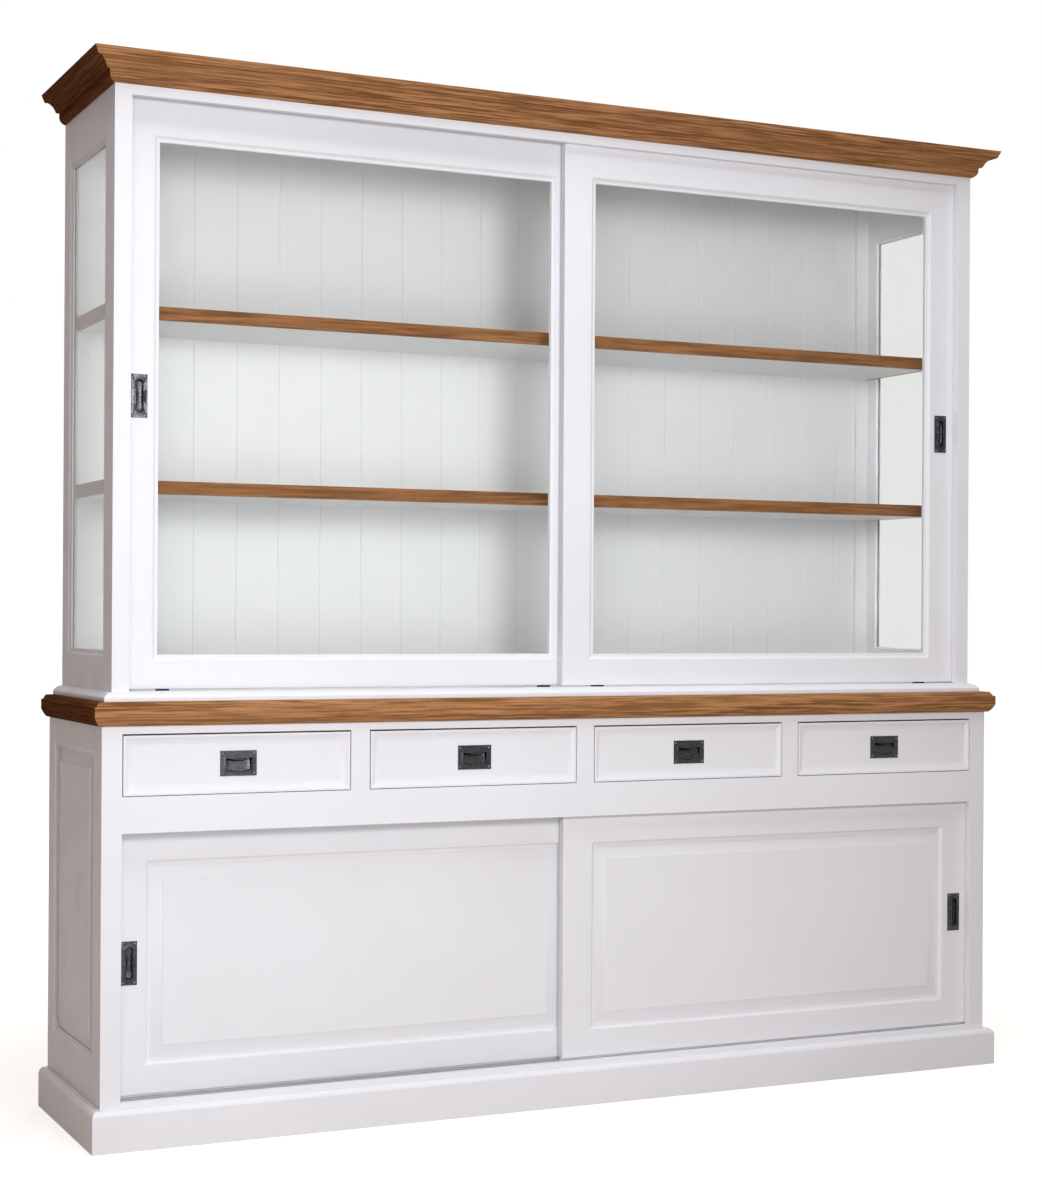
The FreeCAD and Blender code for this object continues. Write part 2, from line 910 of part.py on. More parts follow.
def base_door(side):
    """A panelled door: its boards and its raised panel."""
    across = base_door_across(side)
    face = door_face(base_front, side)
    stiles = door_stiles(base_door_stile, base_door_inner_stile, side)
    rails = (base_door_foot_rail, base_door_head_rail)
    up = (base_door_foot, base_door_head)
    boards, panel = panelled_frame(
        "y", face, 1, door_thickness, door_molding_depth, across, up, stiles, rails
    )
    middle = door_middle(base_front, side)
    place = (stile_middle(across, base_door_stile, side), base_pull_height)
    head = tongue(across, middle, (base_door_head, base_door_head + tongue_height))
    groove_floor = base_floor_top + foot_track_thickness - foot_groove_depth
    foot = tongue(across, middle, (groove_floor + running_gap, base_door_foot))
    return cut_all(boards, door_pull_pocket(place, face)) + [head, foot], panel


# Door tracks


def grooved(blank, front, up):
    """A track board with a groove over or under each door of the pair."""
    groove_half = tongue_thickness / 2 + groove_side_gap
    for side in (-1, 1):
        middle = door_middle(front, side)
        span = (blank.BoundBox.XMin - overrun, blank.BoundBox.XMax + overrun)
        blank = blank.cut(box(span, (middle - groove_half, middle + groove_half), up))
    return blank


def head_track(inner, front, foot):
    """The grooved board over a pair of doors."""
    deep = (front + face_frame_thickness, front + face_frame_thickness + track_depth)
    blank = box((-inner, inner), deep, (foot, foot + head_track_thickness))
    return grooved(blank, front, (foot - overrun, foot + head_groove_depth))


def base_door_tracks():
    """A grooved board on the base's floor and another behind the middle rail."""
    deep = (base_front + face_frame_thickness, base_front + face_frame_thickness + track_depth)
    top = base_floor_top + foot_track_thickness
    blank = box((-base_inner, base_inner), deep, (base_floor_top, top))
    foot_board = grooved(blank, base_front, (top - foot_groove_depth, top + overrun))
    return [foot_board, head_track(base_inner, base_front, base_door_head + head_track_gap)]


def hutch_roller_rails():
    """A narrow rail on the hutch's floor under each door."""
    up = (hutch_floor_top, hutch_floor_top + rail_height)
    solids = []
    for side in (-1, 1):
        middle = door_middle(hutch_front, side)
        deep = (middle - rail_width / 2, middle + rail_width / 2)
        solids.append(box((-hutch_inner, hutch_inner), deep, up))
    return solids


# Rollers


def roller_places(side):
    """The two rollers of a hutch door, a little inside the glass opening's ends."""
    across = hutch_door_across(side)
    left, right = door_stiles(hutch_door_stile, hutch_door_inner_stile, side)
    inset = molding_width + roller_inset
    return [across[0] + left + inset, across[1] - right - inset]


def roller_half_width():
    return roller_groove_width / 2 + roller_flange_thickness


def roller_pocket(along, side):
    """The pocket in a door's foot for a roller's housing."""
    middle = door_middle(hutch_front, side)
    half = roller_half_width() + roller_side_gap + housing_cheek
    across = (along - housing_length / 2, along + housing_length / 2)
    head = hutch_door_foot - housing_drop + housing_height
    return box(across, (middle - half, middle + half), (hutch_door_foot - overrun, head))


def roller_housing(along, side):
    """Two cheeks under a cap, an axle pin across and a nose that shows under the door's foot."""
    middle = door_middle(hutch_front, side)
    inner = roller_half_width() + roller_side_gap
    outer = inner + housing_cheek
    across = (along - housing_length / 2, along + housing_length / 2)
    foot = hutch_door_foot - housing_drop
    up = (foot, foot + housing_height)
    shell = box(across, (middle - outer, middle + outer), up)
    cavity_head = roller_height + roller_flange_radius + housing_top_gap
    cavity = box(grown(across, overrun), (middle - inner, middle + inner), (up[0] - overrun, cavity_head))
    face = door_face(hutch_front, side)
    nose = box(across, (face, middle - outer), (foot, hutch_door_foot))
    start = Vector(along, middle - outer, roller_height)
    axle = Part.makeCylinder(axle_radius, 2 * outer, start, Vector(0, 1, 0))
    return shell.cut(cavity).fuse([nose, axle]).removeSplitter()


def roller_housings(side):
    return [roller_housing(along, side) for along in roller_places(side)]


def roller(along, side):
    """A grooved wheel that rides on the rail and turns on the housing's axle."""
    middle = door_middle(hutch_front, side)
    half = roller_half_width()
    groove = roller_groove_width / 2
    wheel = Part.makeCylinder(
        roller_flange_radius, 2 * half, Vector(along, middle - half, roller_height), Vector(0, 1, 0)
    )
    ring = Part.makeCylinder(
        roller_flange_radius + overrun,
        2 * groove,
        Vector(along, middle - groove, roller_height),
        Vector(0, 1, 0),
    )
    tread = Part.makeCylinder(
        roller_tread_radius, 2 * groove, Vector(along, middle - groove, roller_height), Vector(0, 1, 0)
    )
    bore = Part.makeCylinder(
        axle_radius + axle_gap, 2 * half, Vector(along, middle - half, roller_height), Vector(0, 1, 0)
    )
    return [wheel.cut(ring).fuse(tread).cut(bore).removeSplitter()]


# Recessed pulls


def pull_solid(outline, middle, face, rise, depth):
    """An outline in the pull's own plane, pushed from its rise in front of the face to its depth."""
    start, steps = outline
    along, height = middle
    wire = closed_wire(start, steps, lambda u, v: Vector(along + u, face - rise, height + v))
    return Part.Face(wire).extrude(Vector(0, rise + depth, 0))


def plate_outline(width, height):
    across, up = width / 2, height / 2
    return (-across, -up), [(across, -up), (across, up), (-across, up)]


def door_recess_outline(margin, lip, waist):
    """An oblong with round ends. A lip covers its right side, and is drawn in at the waist."""
    left = -door_pull_recess_width / 2 + margin
    right = door_pull_recess_width / 2 - margin - lip
    half = (right - left) / 2
    straight = door_pull_recess_height / 2 - margin - half
    middle = (left + right) / 2
    foot_right, head_right = (right, -straight), (right, straight)
    side = ((right - waist, 0), head_right) if waist else head_right
    return (left, -straight), [
        ((middle, -straight - half), foot_right),
        side,
        ((middle, straight + half), (left, straight)),
    ]


def drawer_recess_outline(margin, lip, bow):
    """A wide recess under a bowed lip, with a bellied lower edge."""
    half = drawer_pull_recess_width / 2 - margin
    head = drawer_pull_recess_height / 2 - margin - lip
    foot = -drawer_pull_recess_height / 2 + margin + drawer_pull_belly
    crown = ((0, head - bow), (-half, head)) if bow else (-half, head)
    return (-half, foot), [((0, foot - drawer_pull_belly), (half, foot)), (half, head), crown]


def screw_heads(width, height, inset, middle, face):
    """Four slotted heads at the plate's corners."""
    heads = []
    for across in (-1, 1):
        for up in (-1, 1):
            along = middle[0] + across * (width / 2 - inset)
            level = middle[1] + up * (height / 2 - inset)
            start = Vector(along, face - pull_plate, level)
            head = Part.makeCylinder(screw_radius, screw_rise, start, Vector(0, -1, 0))
            span = (along - screw_radius, along + screw_radius)
            deep = (face - pull_plate - screw_rise - overrun, face - pull_plate - screw_rise / 2)
            slot = box(span, deep, (level - screw_slot / 2, level + screw_slot / 2))
            heads.append(head.cut(slot))
    return heads


def pull(plate, mouth, hollow, shell, middle, face):
    """A plate with a mouth, and a pan behind it."""
    front = pull_solid(plate, middle, face, pull_plate, 0)
    pan = pull_solid(shell, middle, face, 0, pull_depth)
    room = pull_solid(hollow, middle, face, 0, pull_depth - pull_wall)
    opening = pull_solid(mouth, middle, face, pull_plate + overrun, 0)
    return front.cut(opening).fuse(pan.cut(room)).removeSplitter()


def door_pull(middle, face):
    plate = plate_outline(door_pull_width, door_pull_height)
    mouth = door_recess_outline(pull_wall, door_pull_lip, door_pull_waist)
    hollow = door_recess_outline(pull_wall, 0, 0)
    shell = door_recess_outline(0, 0, 0)
    body = pull(plate, mouth, hollow, shell, middle, face)
    return [body.fuse(screw_heads(door_pull_width, door_pull_height, door_screw_inset, middle, face))]


def drawer_pull(middle, face):
    plate = plate_outline(drawer_pull_width, drawer_pull_height)
    mouth = drawer_recess_outline(pull_wall, drawer_pull_lip, drawer_pull_bow)
    hollow = drawer_recess_outline(pull_wall, 0, 0)
    shell = drawer_recess_outline(0, 0, 0)
    body = pull(plate, mouth, hollow, shell, middle, face)
    return [body.fuse(screw_heads(drawer_pull_width, drawer_pull_height, drawer_screw_inset, middle, face))]


def door_pull_pocket(middle, face):
    """The pocket in a door's stile for a pull's pan."""
    outline = plate_outline(
        door_pull_recess_width + 2 * pull_pocket_gap, door_pull_recess_height + 2 * pull_pocket_gap
    )
    return pull_solid(outline, middle, face, overrun, pull_depth + pull_pocket_gap)


def drawer_pull_pocket(middle, face):
    """The pocket in a drawer's front for a pull's pan."""
    outline = plate_outline(
        drawer_pull_recess_width + 2 * pull_pocket_gap, drawer_pull_recess_height + 2 * pull_pocket_gap
    )
    return pull_solid(outline, middle, face, overrun, pull_depth + pull_pocket_gap)


def hutch_door_pull(side):
    middle = (stile_middle(hutch_door_across(side), hutch_door_stile, side), hutch_pull_height)
    return door_pull(middle, door_face(hutch_front, side))


def base_door_pull(side):
    middle = (stile_middle(base_door_across(side), base_door_stile, side), base_pull_height)
    return door_pull(middle, door_face(base_front, side))


def all_nodes():
    """Every sub-part by name, each a list of solids."""
    nodes = {
        "plinth": plinth(),
        "base_face_frame": base_face_frame(),
        "base_floor": base_floor(),
        "base_back_panel": base_back_panel(),
        "base_partition": base_partition(),
        "base_shelves": base_shelves(),
        "door_tracks": base_door_tracks() + [head_track(hutch_inner, hutch_front, hutch_track_foot)],
        "drawer_divider": drawer_divider(),
        "drawer_guides": drawer_guides(),
        "countertop": countertop(),
        "hutch_base_molding": hutch_base_molding(),
        "hutch_face_frame": hutch_face_frame(),
        "hutch_floor": hutch_floor(),
        "hutch_top": hutch_top(),
        "hutch_back_boards": hutch_back_boards(),
        "hutch_back_posts": hutch_back_posts(),
        "hutch_roller_rails": hutch_roller_rails(),
        "shelf_lippings": shelf_lippings(),
        "shelf_pins": shelf_pins(),
        "hutch_shelves": [hutch_shelf(top) for top in shelf_tops()],
        "cornice": cornice(),
    }
    for hand, side in (("left", -1), ("right", 1)):
        boards, panel = base_side(side)
        nodes[f"base_{hand}_side_frame"] = boards
        nodes[f"base_{hand}_side_panel"] = [panel]
        boards, pane, strips = hutch_side(side)
        nodes[f"hutch_{hand}_side_frame"] = boards + strips
        nodes[f"hutch_{hand}_side_glass"] = [pane]
        boards, pane = hutch_door(side)
        nodes[f"hutch_{hand}_door_frame"] = boards
        nodes[f"hutch_{hand}_door_glass"] = [pane]
        nodes[f"hutch_{hand}_door_pull"] = hutch_door_pull(side)
        nodes[f"hutch_{hand}_door_housings"] = roller_housings(side)
        for place, along in zip(("outer", "inner") if side < 0 else ("inner", "outer"), roller_places(side)):
            nodes[f"hutch_{hand}_door_{place}_roller"] = roller(along, side)
        boards, panel = base_door(side)
        nodes[f"base_{hand}_door_frame"] = boards
        nodes[f"base_{hand}_door_panel"] = [panel]
        nodes[f"base_{hand}_door_pull"] = base_door_pull(side)
    for index in range(drawer_count):
        name = f"drawer_{index + 1}"
        nodes[f"{name}_front"] = drawer_front(index)
        nodes[f"{name}_box"] = drawer_box(index)
        nodes[f"{name}_pull"] = drawer_pull(drawer_pull_place(index), base_front + drawer_slope_depth)
    return nodes


def main():
    os.makedirs("parts", exist_ok=True)
    for name, solids in all_nodes().items():
        shape = solids[0] if len(solids) == 1 else Part.makeCompound(solids)
        shape.exportStep(f"parts/{name}.step")
        print(name, len(shape.Solids), shape.isValid(), round(shape.Volume))


main()
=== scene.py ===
"""A white buffet with an oak counter and cornice: its pieces, finishes, lamps and camera."""

import logging
import math
from contextlib import contextmanager
from dataclasses import dataclass
from enum import Enum
from typing import Callable, Iterator, Optional, Sequence

import bmesh
import bpy
from mathutils import Matrix, Vector


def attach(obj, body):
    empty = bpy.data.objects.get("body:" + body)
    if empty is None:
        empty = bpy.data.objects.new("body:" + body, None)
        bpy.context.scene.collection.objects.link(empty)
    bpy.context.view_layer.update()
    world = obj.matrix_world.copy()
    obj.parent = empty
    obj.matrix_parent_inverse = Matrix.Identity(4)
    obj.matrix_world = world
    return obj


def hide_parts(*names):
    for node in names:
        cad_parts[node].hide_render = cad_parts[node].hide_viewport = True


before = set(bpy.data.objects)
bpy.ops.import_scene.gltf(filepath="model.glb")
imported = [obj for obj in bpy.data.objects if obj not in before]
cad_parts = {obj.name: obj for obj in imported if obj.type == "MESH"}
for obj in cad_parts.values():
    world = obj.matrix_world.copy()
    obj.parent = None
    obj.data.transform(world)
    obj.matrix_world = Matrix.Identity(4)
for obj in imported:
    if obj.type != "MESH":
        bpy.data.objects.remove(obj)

LOG = logging.getLogger("buffet")
MM = 0.001
Triple = tuple[float, float, float]
Colour = Triple
Pair = tuple[float, float]
Outline = list[Pair]
Socket = bpy.types.NodeSocket
Piece = bpy.types.Object
Pick = Callable[[Vector], int]
Rise = Callable[[float, float], float]
NUMBER = "NodeSocketFloat"


# Shader wiring


class Wiring:
    """Places nodes in a tree, fills their inputs and joins them."""

    def __init__(self, tree: bpy.types.NodeTree) -> None:
        """Work on one tree.

        Args:
            tree: The material's or group's node tree.
        """
        self.tree = tree
        self.count = 0

    def node(self, kind: str, inputs: Optional[dict] = None, **settings: object) -> bpy.types.Node:
        """Place a node.

        Args:
            kind: Blender's name of the node type.
            inputs: Values or output sockets for its inputs, by name or number.
            settings: Properties of the node itself.

        Returns:
            The new node.
        """
        made = self.tree.nodes.new(kind)
        made.location = (200 * (self.count % 12), -240 * (self.count // 12))
        self.count += 1
        for name, value in settings.items():
            setattr(made, name, value)
        for key, value in (inputs or {}).items():
            self.feed(made.inputs[key], value)
        return made

    def feed(self, socket: Socket, value: object) -> None:
        """Link a socket to an output, or give it a value.

        Args:
            socket: The input.
            value: An output socket, or a plain value.
        """
        if isinstance(value, Socket):
            self.tree.links.new(value, socket)
        else:
            socket.default_value = value

    def fill(self, node: bpy.types.Node, **inputs: object) -> None:
        """Fill a node's inputs, by title with underscores for spaces."""
        for title, value in inputs.items():
            self.feed(node.inputs[title.replace("_", " ")], value)

    def math(self, operation: str, first: object, second: object = 0.0, clamp: bool = False) -> Socket:
        """Join two numbers by an operation and give the result's socket."""
        return self.node("ShaderNodeMath", {0: first, 1: second}, operation=operation, use_clamp=clamp).outputs[0]

    def span(self, value: object, low: float, high: float, to_low: float, to_high: float) -> Socket:
        """Map a number smoothly from one span to another and give the result's socket."""
        inputs = {0: value, 1: low, 2: high, 3: to_low, 4: to_high}
        return self.node("ShaderNodeMapRange", inputs, interpolation_type="SMOOTHSTEP").outputs[0]

    def blend(self, share: object, first: object, second: object) -> Socket:
        """Mix two colours.

        Args:
            share: The second colour's share.
            first: A colour or its socket.
            second: A colour or its socket.

        Returns:
            The mixed colour's socket.
        """
        made = self.node("ShaderNodeMix", data_type="RGBA", blend_type="MIX")
        self.feed(made.inputs[0], share)
        for socket, value in ((made.inputs[6], first), (made.inputs[7], second)):
            self.feed(socket, value if isinstance(value, Socket) else (*value, 1.0))
        return made.outputs[2]

    def vector(self, operation: str, inputs: dict) -> Socket:
        """Join vectors by an operation and give the result's socket."""
        made = self.node("ShaderNodeVectorMath", inputs, operation=operation)
        return made.outputs["Value" if operation in ("LENGTH", "DOT_PRODUCT") else "Vector"]

    def noise(self, vector: Socket, scale: float, detail: float = 3.0, rough: float = 0.5) -> Socket:
        """Give the socket of a noise field."""
        inputs = {"Vector": vector, "Scale": scale, "Detail": detail, "Roughness": rough}
        return self.node("ShaderNodeTexNoise", inputs).outputs[0]

    def stretch(self, vector: Socket, scale: Sequence[float], shift: Sequence[float] = (0, 0, 0)) -> Socket:
        """Scale and shift coordinates."""
        inputs = {"Vector": vector, "Scale": scale, "Location": shift}
        return self.node("ShaderNodeMapping", inputs).outputs[0]

    def bump(self, height: Socket, strength: float, distance: float) -> Socket:
        """Turn a height in its own units into a normal."""
        inputs = {"Height": height, "Strength": strength, "Distance": distance}
        return self.node("ShaderNodeBump", inputs).outputs[0]


class Group:
    """A shader node group with named inputs and outputs, built once."""

    def __init__(self, name: str, inputs: dict[str, object], outputs: dict[str, str]) -> None:
        """Make the group's sockets and its first and last nodes.

        Args:
            name: The group's name.
            inputs: A default for each input; a tuple of three makes a vector.
            outputs: The socket type of each output.
        """
        self.tree = bpy.data.node_groups.new(name, "ShaderNodeTree")
        for title, value in inputs.items():
            kind = "NodeSocketVector" if isinstance(value, tuple) else NUMBER
            made = self.tree.interface.new_socket(title, in_out="INPUT", socket_type=kind)
            made.default_value = value
        for title, kind in outputs.items():
            self.tree.interface.new_socket(title, in_out="OUTPUT", socket_type=kind)
        self.wiring = Wiring(self.tree)
        self.start = self.wiring.node("NodeGroupInput").outputs
        self.end = self.wiring.node("NodeGroupOutput").inputs

    def close(self, **results: Socket) -> None:
        """Link the results to the group's outputs, by name with underscores for spaces."""
        for title, socket in results.items():
            self.wiring.feed(self.end[title.replace("_", " ")], socket)

    def place(self, wiring: Wiring, **inputs: object) -> bpy.types.Node:
        """Place the group in a material's tree with its own values.

        Args:
            wiring: The material's wiring.
            inputs: Values or sockets, by title with underscores for spaces.

        Returns:
            The group's node.
        """
        made = wiring.node("ShaderNodeGroup", node_tree=self.tree)
        wiring.fill(made, **inputs)
        return made


def grain_group() -> Group:
    """Open-grained wood along the first coordinate.

    Returns:
        A group with streaks, broad figure, fine pores and a height.
    """
    group = Group(
        "wood_grain",
        {"Vector": (0.0, 0.0, 0.0), "Length": 18.0, "Fineness": 260.0, "Waviness": 0.004},
        {"Streaks": NUMBER, "Figure": NUMBER, "Pores": NUMBER, "Height": NUMBER},
    )
    w, inlet = group.wiring, group.start
    sway = w.node("ShaderNodeTexNoise", {"Vector": inlet["Vector"], "Scale": 5.0, "Detail": 2.0})
    offset = w.vector("SUBTRACT", {0: sway.outputs[1], 1: (0.5, 0.5, 0.5)})
    offset = w.vector("SCALE", {0: offset, "Scale": inlet["Waviness"]})
    bent = w.vector("ADD", {0: inlet["Vector"], 1: offset})
    parts = w.node("ShaderNodeSeparateXYZ", {0: bent}).outputs
    along = w.math("MULTIPLY", parts[0], inlet["Length"])
    across = [w.math("MULTIPLY", parts[axis], inlet["Fineness"]) for axis in (1, 2)]
    fibre = w.node("ShaderNodeCombineXYZ", {0: along, 1: across[0], 2: across[1]}).outputs[0]
    streaks = w.noise(fibre, 1.0, 5.0, 0.62)
    figure = w.noise(w.stretch(fibre, (0.22, 0.10, 0.10)), 1.0, 3.0, 0.5)
    ticks = w.noise(w.stretch(fibre, (1.6, 3.2, 3.2), (4.0, 2.0, 7.0)), 1.0, 2.0, 0.6)
    pores = w.span(ticks, 0.60, 0.72, 0.0, 1.0)
    height = w.math("SUBTRACT", w.math("MULTIPLY", streaks, 0.35), pores)
    group.close(Streaks=streaks, Figure=figure, Pores=pores, Height=height)
    return group


def coat_group() -> Group:
    """The slow unevenness of a sprayed or rubbed surface.

    Returns:
        A group with a broad cloud, a fine orange peel and faint rubbed marks.
    """
    group = Group(
        "uneven_coat",
        {"Vector": (0.0, 0.0, 0.0), "Cloud Scale": 2.5, "Peel Scale": 420.0, "Mark Scale": 22.0},
        {"Cloud": NUMBER, "Peel": NUMBER, "Marks": NUMBER},
    )
    w, inlet = group.wiring, group.start
    fields = []
    for title, detail, rough in (("Cloud", 3.0, 0.5), ("Peel", 1.0, 0.4), ("Mark", 4.0, 0.65)):
        inputs = {"Vector": inlet["Vector"], "Scale": inlet[f"{title} Scale"], "Detail": detail, "Roughness": rough}
        fields.append(w.node("ShaderNodeTexNoise", inputs).outputs[0])
    marks = w.span(fields[2], 0.42, 0.68, 0.0, 1.0)
    group.close(Cloud=fields[0], Peel=fields[1], Marks=marks)
    return group


def edge_group() -> Group:
    """A mask of the outside edges of a piece, broken up as by handling; the finishes lighten their edges by it, as wear
    and, on the lacquer, as a painted highlight.

    Returns:
        A group with a soft mask for edges within a radius.
    """
    group = Group(
        "edge_wear_and_highlight",
        {"Vector": (0.0, 0.0, 0.0), "Radius": 0.0012, "Breakup": 60.0},
        {"Mask": NUMBER},
    )
    w, inlet = group.wiring, group.start
    rounded = w.node("ShaderNodeBevel", {"Radius": inlet["Radius"]}, samples=4)
    true = w.node("ShaderNodeNewGeometry").outputs["Normal"]
    dot = w.vector("DOT_PRODUCT", {0: rounded.outputs[0], 1: true})
    edge = w.span(dot, 0.995, 0.90, 0.0, 1.0)
    inputs = {"Vector": inlet["Vector"], "Scale": inlet["Breakup"], "Detail": 3.0}
    gaps = w.span(w.node("ShaderNodeTexNoise", inputs).outputs[0], 0.35, 0.65, 0.25, 1.0)
    group.close(Mask=w.math("MULTIPLY", edge, gaps, clamp=True))
    return group


GRAIN = grain_group()
COAT = coat_group()
EDGE_WEAR_AND_HIGHLIGHT = edge_group()


# Finishes


def new_material(name: str) -> tuple[bpy.types.Material, Wiring, bpy.types.Node, Socket]:
    """Make an empty material with a Principled shader.

    Args:
        name: The material's name.

    Returns:
        The material, its wiring, its shader and the object's coordinates.
    """
    material = bpy.data.materials.new(name)
    material.use_nodes = True
    material.node_tree.nodes.clear()
    wiring = Wiring(material.node_tree)
    shader = wiring.node("ShaderNodeBsdfPrincipled")
    wiring.node("ShaderNodeOutputMaterial", {"Surface": shader.outputs[0]})
    place = wiring.node("ShaderNodeTexCoord").outputs["Object"]
    return material, wiring, shader, place


@dataclass(frozen=True)
class Lacquer:
    """White satin lacquer over wood."""

    name: str = "white_lacquer"
    slot: str = "white_lacquer"
    colour: Colour = (0.800, 0.795, 0.800)
    shade: Colour = (0.775, 0.768, 0.770)
    # Lighter colour on the edges: a painted highlight on the arrises, with a little wear.
    rub_and_highlight: Colour = (0.900, 0.885, 0.870)
    roughness: float = 0.38
    shine: float = 0.2

    def build(self) -> bpy.types.Material:
        """Make the material.

        Returns:
            The finished material.
        """
        material, w, shader, place = new_material(self.name)
        coat = COAT.place(w, Vector=place)
        # A wide edge mask that lightens the arrises: a painted highlight, with a little wear.
        edge = EDGE_WEAR_AND_HIGHLIGHT.place(w, Vector=place, Radius=0.002)
        base = w.blend(w.span(coat.outputs["Cloud"], 0.3, 0.7, 0.0, 1.0), self.shade, self.colour)
        worn_and_highlit = w.blend(edge.outputs["Mask"], base, self.rub_and_highlight)
        rough = w.span(coat.outputs["Marks"], 0.0, 1.0, self.roughness, self.roughness + 0.07)
        peel = w.bump(coat.outputs["Peel"], 0.25, 0.00012)
        w.fill(shader, Base_Color=worn_and_highlit, Roughness=rough, Normal=peel, Specular_IOR_Level=self.shine)
        return material


class Grain(Enum):
    """The way a board's grain runs."""

    ALONG_X = "x"
    ALONG_Y = "y"


@dataclass(frozen=True)
class Wood:
    """A stained and sealed wood whose grain runs one way."""

    name: str
    slot: str
    light: Colour
    dark: Colour
    pore: Colour
    grain: Grain
    length: float = 7.5
    fineness: float = 230.0
    roughness: float = 0.52
    shift: Colour = (0.0, 0.0, 0.0)
    shine: float = 0.03

    def build(self) -> bpy.types.Material:
        """Make the material.

        Returns:
            The finished material.
        """
        material, w, shader, place = new_material(f"{self.name}_{self.grain.value}")
        parts = w.node("ShaderNodeSeparateXYZ", {0: w.stretch(place, (1, 1, 1), self.shift)}).outputs
        order = (0, 1, 2) if self.grain is Grain.ALONG_X else (1, 0, 2)
        turned = w.node("ShaderNodeCombineXYZ", {at: parts[axis] for at, axis in enumerate(order)}).outputs[0]
        grain = GRAIN.place(w, Vector=turned, Length=self.length, Fineness=self.fineness)
        coat = COAT.place(w, Vector=place)
        edge = EDGE_WEAR_AND_HIGHLIGHT.place(w, Vector=place)
        share = w.span(grain.outputs["Streaks"], 0.38, 0.62, 0.0, 1.0)
        base = w.blend(share, self.dark, self.light)
        figure = w.span(grain.outputs["Figure"], 0.3, 0.7, 0.0, 0.45)
        base = w.blend(figure, base, tuple(0.78 * part for part in self.light))
        base = w.blend(w.math("MULTIPLY", grain.outputs["Pores"], 0.55), base, self.pore)
        rub_and_highlight = tuple(min(1.0, 1.25 * part) for part in self.light)
        worn_and_highlit = w.blend(w.math("MULTIPLY", edge.outputs["Mask"], 0.4), base, rub_and_highlight)
        rough = w.span(coat.outputs["Marks"], 0.0, 1.0, self.roughness, self.roughness + 0.08)
        rough = w.math("ADD", rough, w.math("MULTIPLY", grain.outputs["Pores"], 0.18), clamp=True)
        relief = w.bump(grain.outputs["Height"], 0.35, 0.0003)
        w.fill(shader, Base_Color=worn_and_highlit, Roughness=rough, Normal=relief, Specular_IOR_Level=self.shine)
        return material


@dataclass(frozen=True)
class PaneGlass:
    """Clear sheet glass that lets the lamps through."""

    name: str = "pane"
    slot: str = "pane"
    colour: Colour = (0.885, 0.892, 0.882)
    shade: Colour = (0.86, 0.865, 0.855)

    def build(self) -> bpy.types.Material:
        """Make the material.

        Returns:
            The finished material.
        """
        material, w, shader, place = new_material(self.name)
        w.fill(shader, Base_Color=(*self.colour, 1.0), Metallic=0.0, Transmission_Weight=1.0, IOR=1.15)
        coat = COAT.place(w, Vector=place, Mark_Scale=9.0)
        w.fill(shader, Roughness=w.span(coat.outputs["Marks"], 0.0, 1.0, 0.0, 0.012))
        clear = w.node("ShaderNodeBsdfTransparent", {"Color": (*self.shade, 1.0)}).outputs[0]
        shadow = w.node("ShaderNodeLightPath").outputs["Is Shadow Ray"]
        mixed = w.node("ShaderNodeMixShader", {0: shadow, 1: shader.outputs[0], 2: clear})
        output = next(node for node in w.tree.nodes if node.bl_idname == "ShaderNodeOutputMaterial")
        w.feed(output.inputs["Surface"], mixed.outputs[0])
        return material


@dataclass(frozen=True)
class Metal:
    """A metal with uneven patina, fine scratches and rubbed edges."""

    name: str
    slot: str
    colour: Colour
    patina: Colour
    rub_and_highlight: Colour
    roughness: float
    mottling: float = 160.0
    brushed: float = 0.0

    def build(self) -> bpy.types.Material:
        """Make the material.

        Returns:
            The finished material.
        """
        material, w, shader, place = new_material(self.name)
        coat = COAT.place(w, Vector=place, Cloud_Scale=self.mottling, Peel_Scale=1500.0, Mark_Scale=300.0)
        edge = EDGE_WEAR_AND_HIGHLIGHT.place(w, Vector=place, Radius=0.0008, Breakup=220.0)
        base = w.blend(w.span(coat.outputs["Cloud"], 0.35, 0.65, 0.0, 1.0), self.patina, self.colour)
        worn_and_highlit = w.blend(edge.outputs["Mask"], base, self.rub_and_highlight)
        rough = w.span(coat.outputs["Marks"], 0.0, 1.0, self.roughness, self.roughness + 0.12)
        rough = w.math("SUBTRACT", rough, w.math("MULTIPLY", edge.outputs["Mask"], 0.1), clamp=True)
        height = coat.outputs["Peel"]
        if self.brushed:
            height = w.noise(w.stretch(place, (4.0, 900.0, 900.0)), self.brushed, 2.0)
        w.fill(shader, Base_Color=worn_and_highlit, Metallic=1.0, Roughness=rough, Normal=w.bump(height, 0.2, 0.00004))
        return material


@dataclass(frozen=True)
class Nylon:
    """Off-white moulded nylon."""

    name: str = "nylon"
    slot: str = "nylon"
    colour: Colour = (0.62, 0.60, 0.55)

    def build(self) -> bpy.types.Material:
        """Make the material.

        Returns:
            The finished material.
        """
        material, w, shader, place = new_material(self.name)
        coat = COAT.place(w, Vector=place, Cloud_Scale=60.0, Mark_Scale=260.0)
        dark = tuple(0.8 * part for part in self.colour)
        rubbed = w.blend(coat.outputs["Marks"], self.colour, dark)
        rough = w.span(coat.outputs["Marks"], 0.0, 1.0, 0.35, 0.5)
        peel, reach = w.bump(coat.outputs["Peel"], 0.2, 0.0001), (0.002, 0.002, 0.002)
        w.fill(shader, Base_Color=rubbed, Roughness=rough, Normal=peel)
        w.fill(shader, Subsurface_Weight=0.1, Subsurface_Radius=reach)
        return material


OAK = ((0.470, 0.225, 0.095), (0.170, 0.072, 0.024), (0.085, 0.034, 0.014))
# A darker copy of the oak for the runs along the ends: mostly painted shade on the cabinet's sides.
OAK_RETURN_SHADED = ((0.235, 0.100, 0.044), (0.115, 0.047, 0.019), (0.055, 0.022, 0.010))
OAK_EDGE = ((0.300, 0.125, 0.044), (0.105, 0.040, 0.011), (0.045, 0.017, 0.006))
BEECH = ((0.62, 0.47, 0.31), (0.50, 0.36, 0.22), (0.30, 0.19, 0.11))


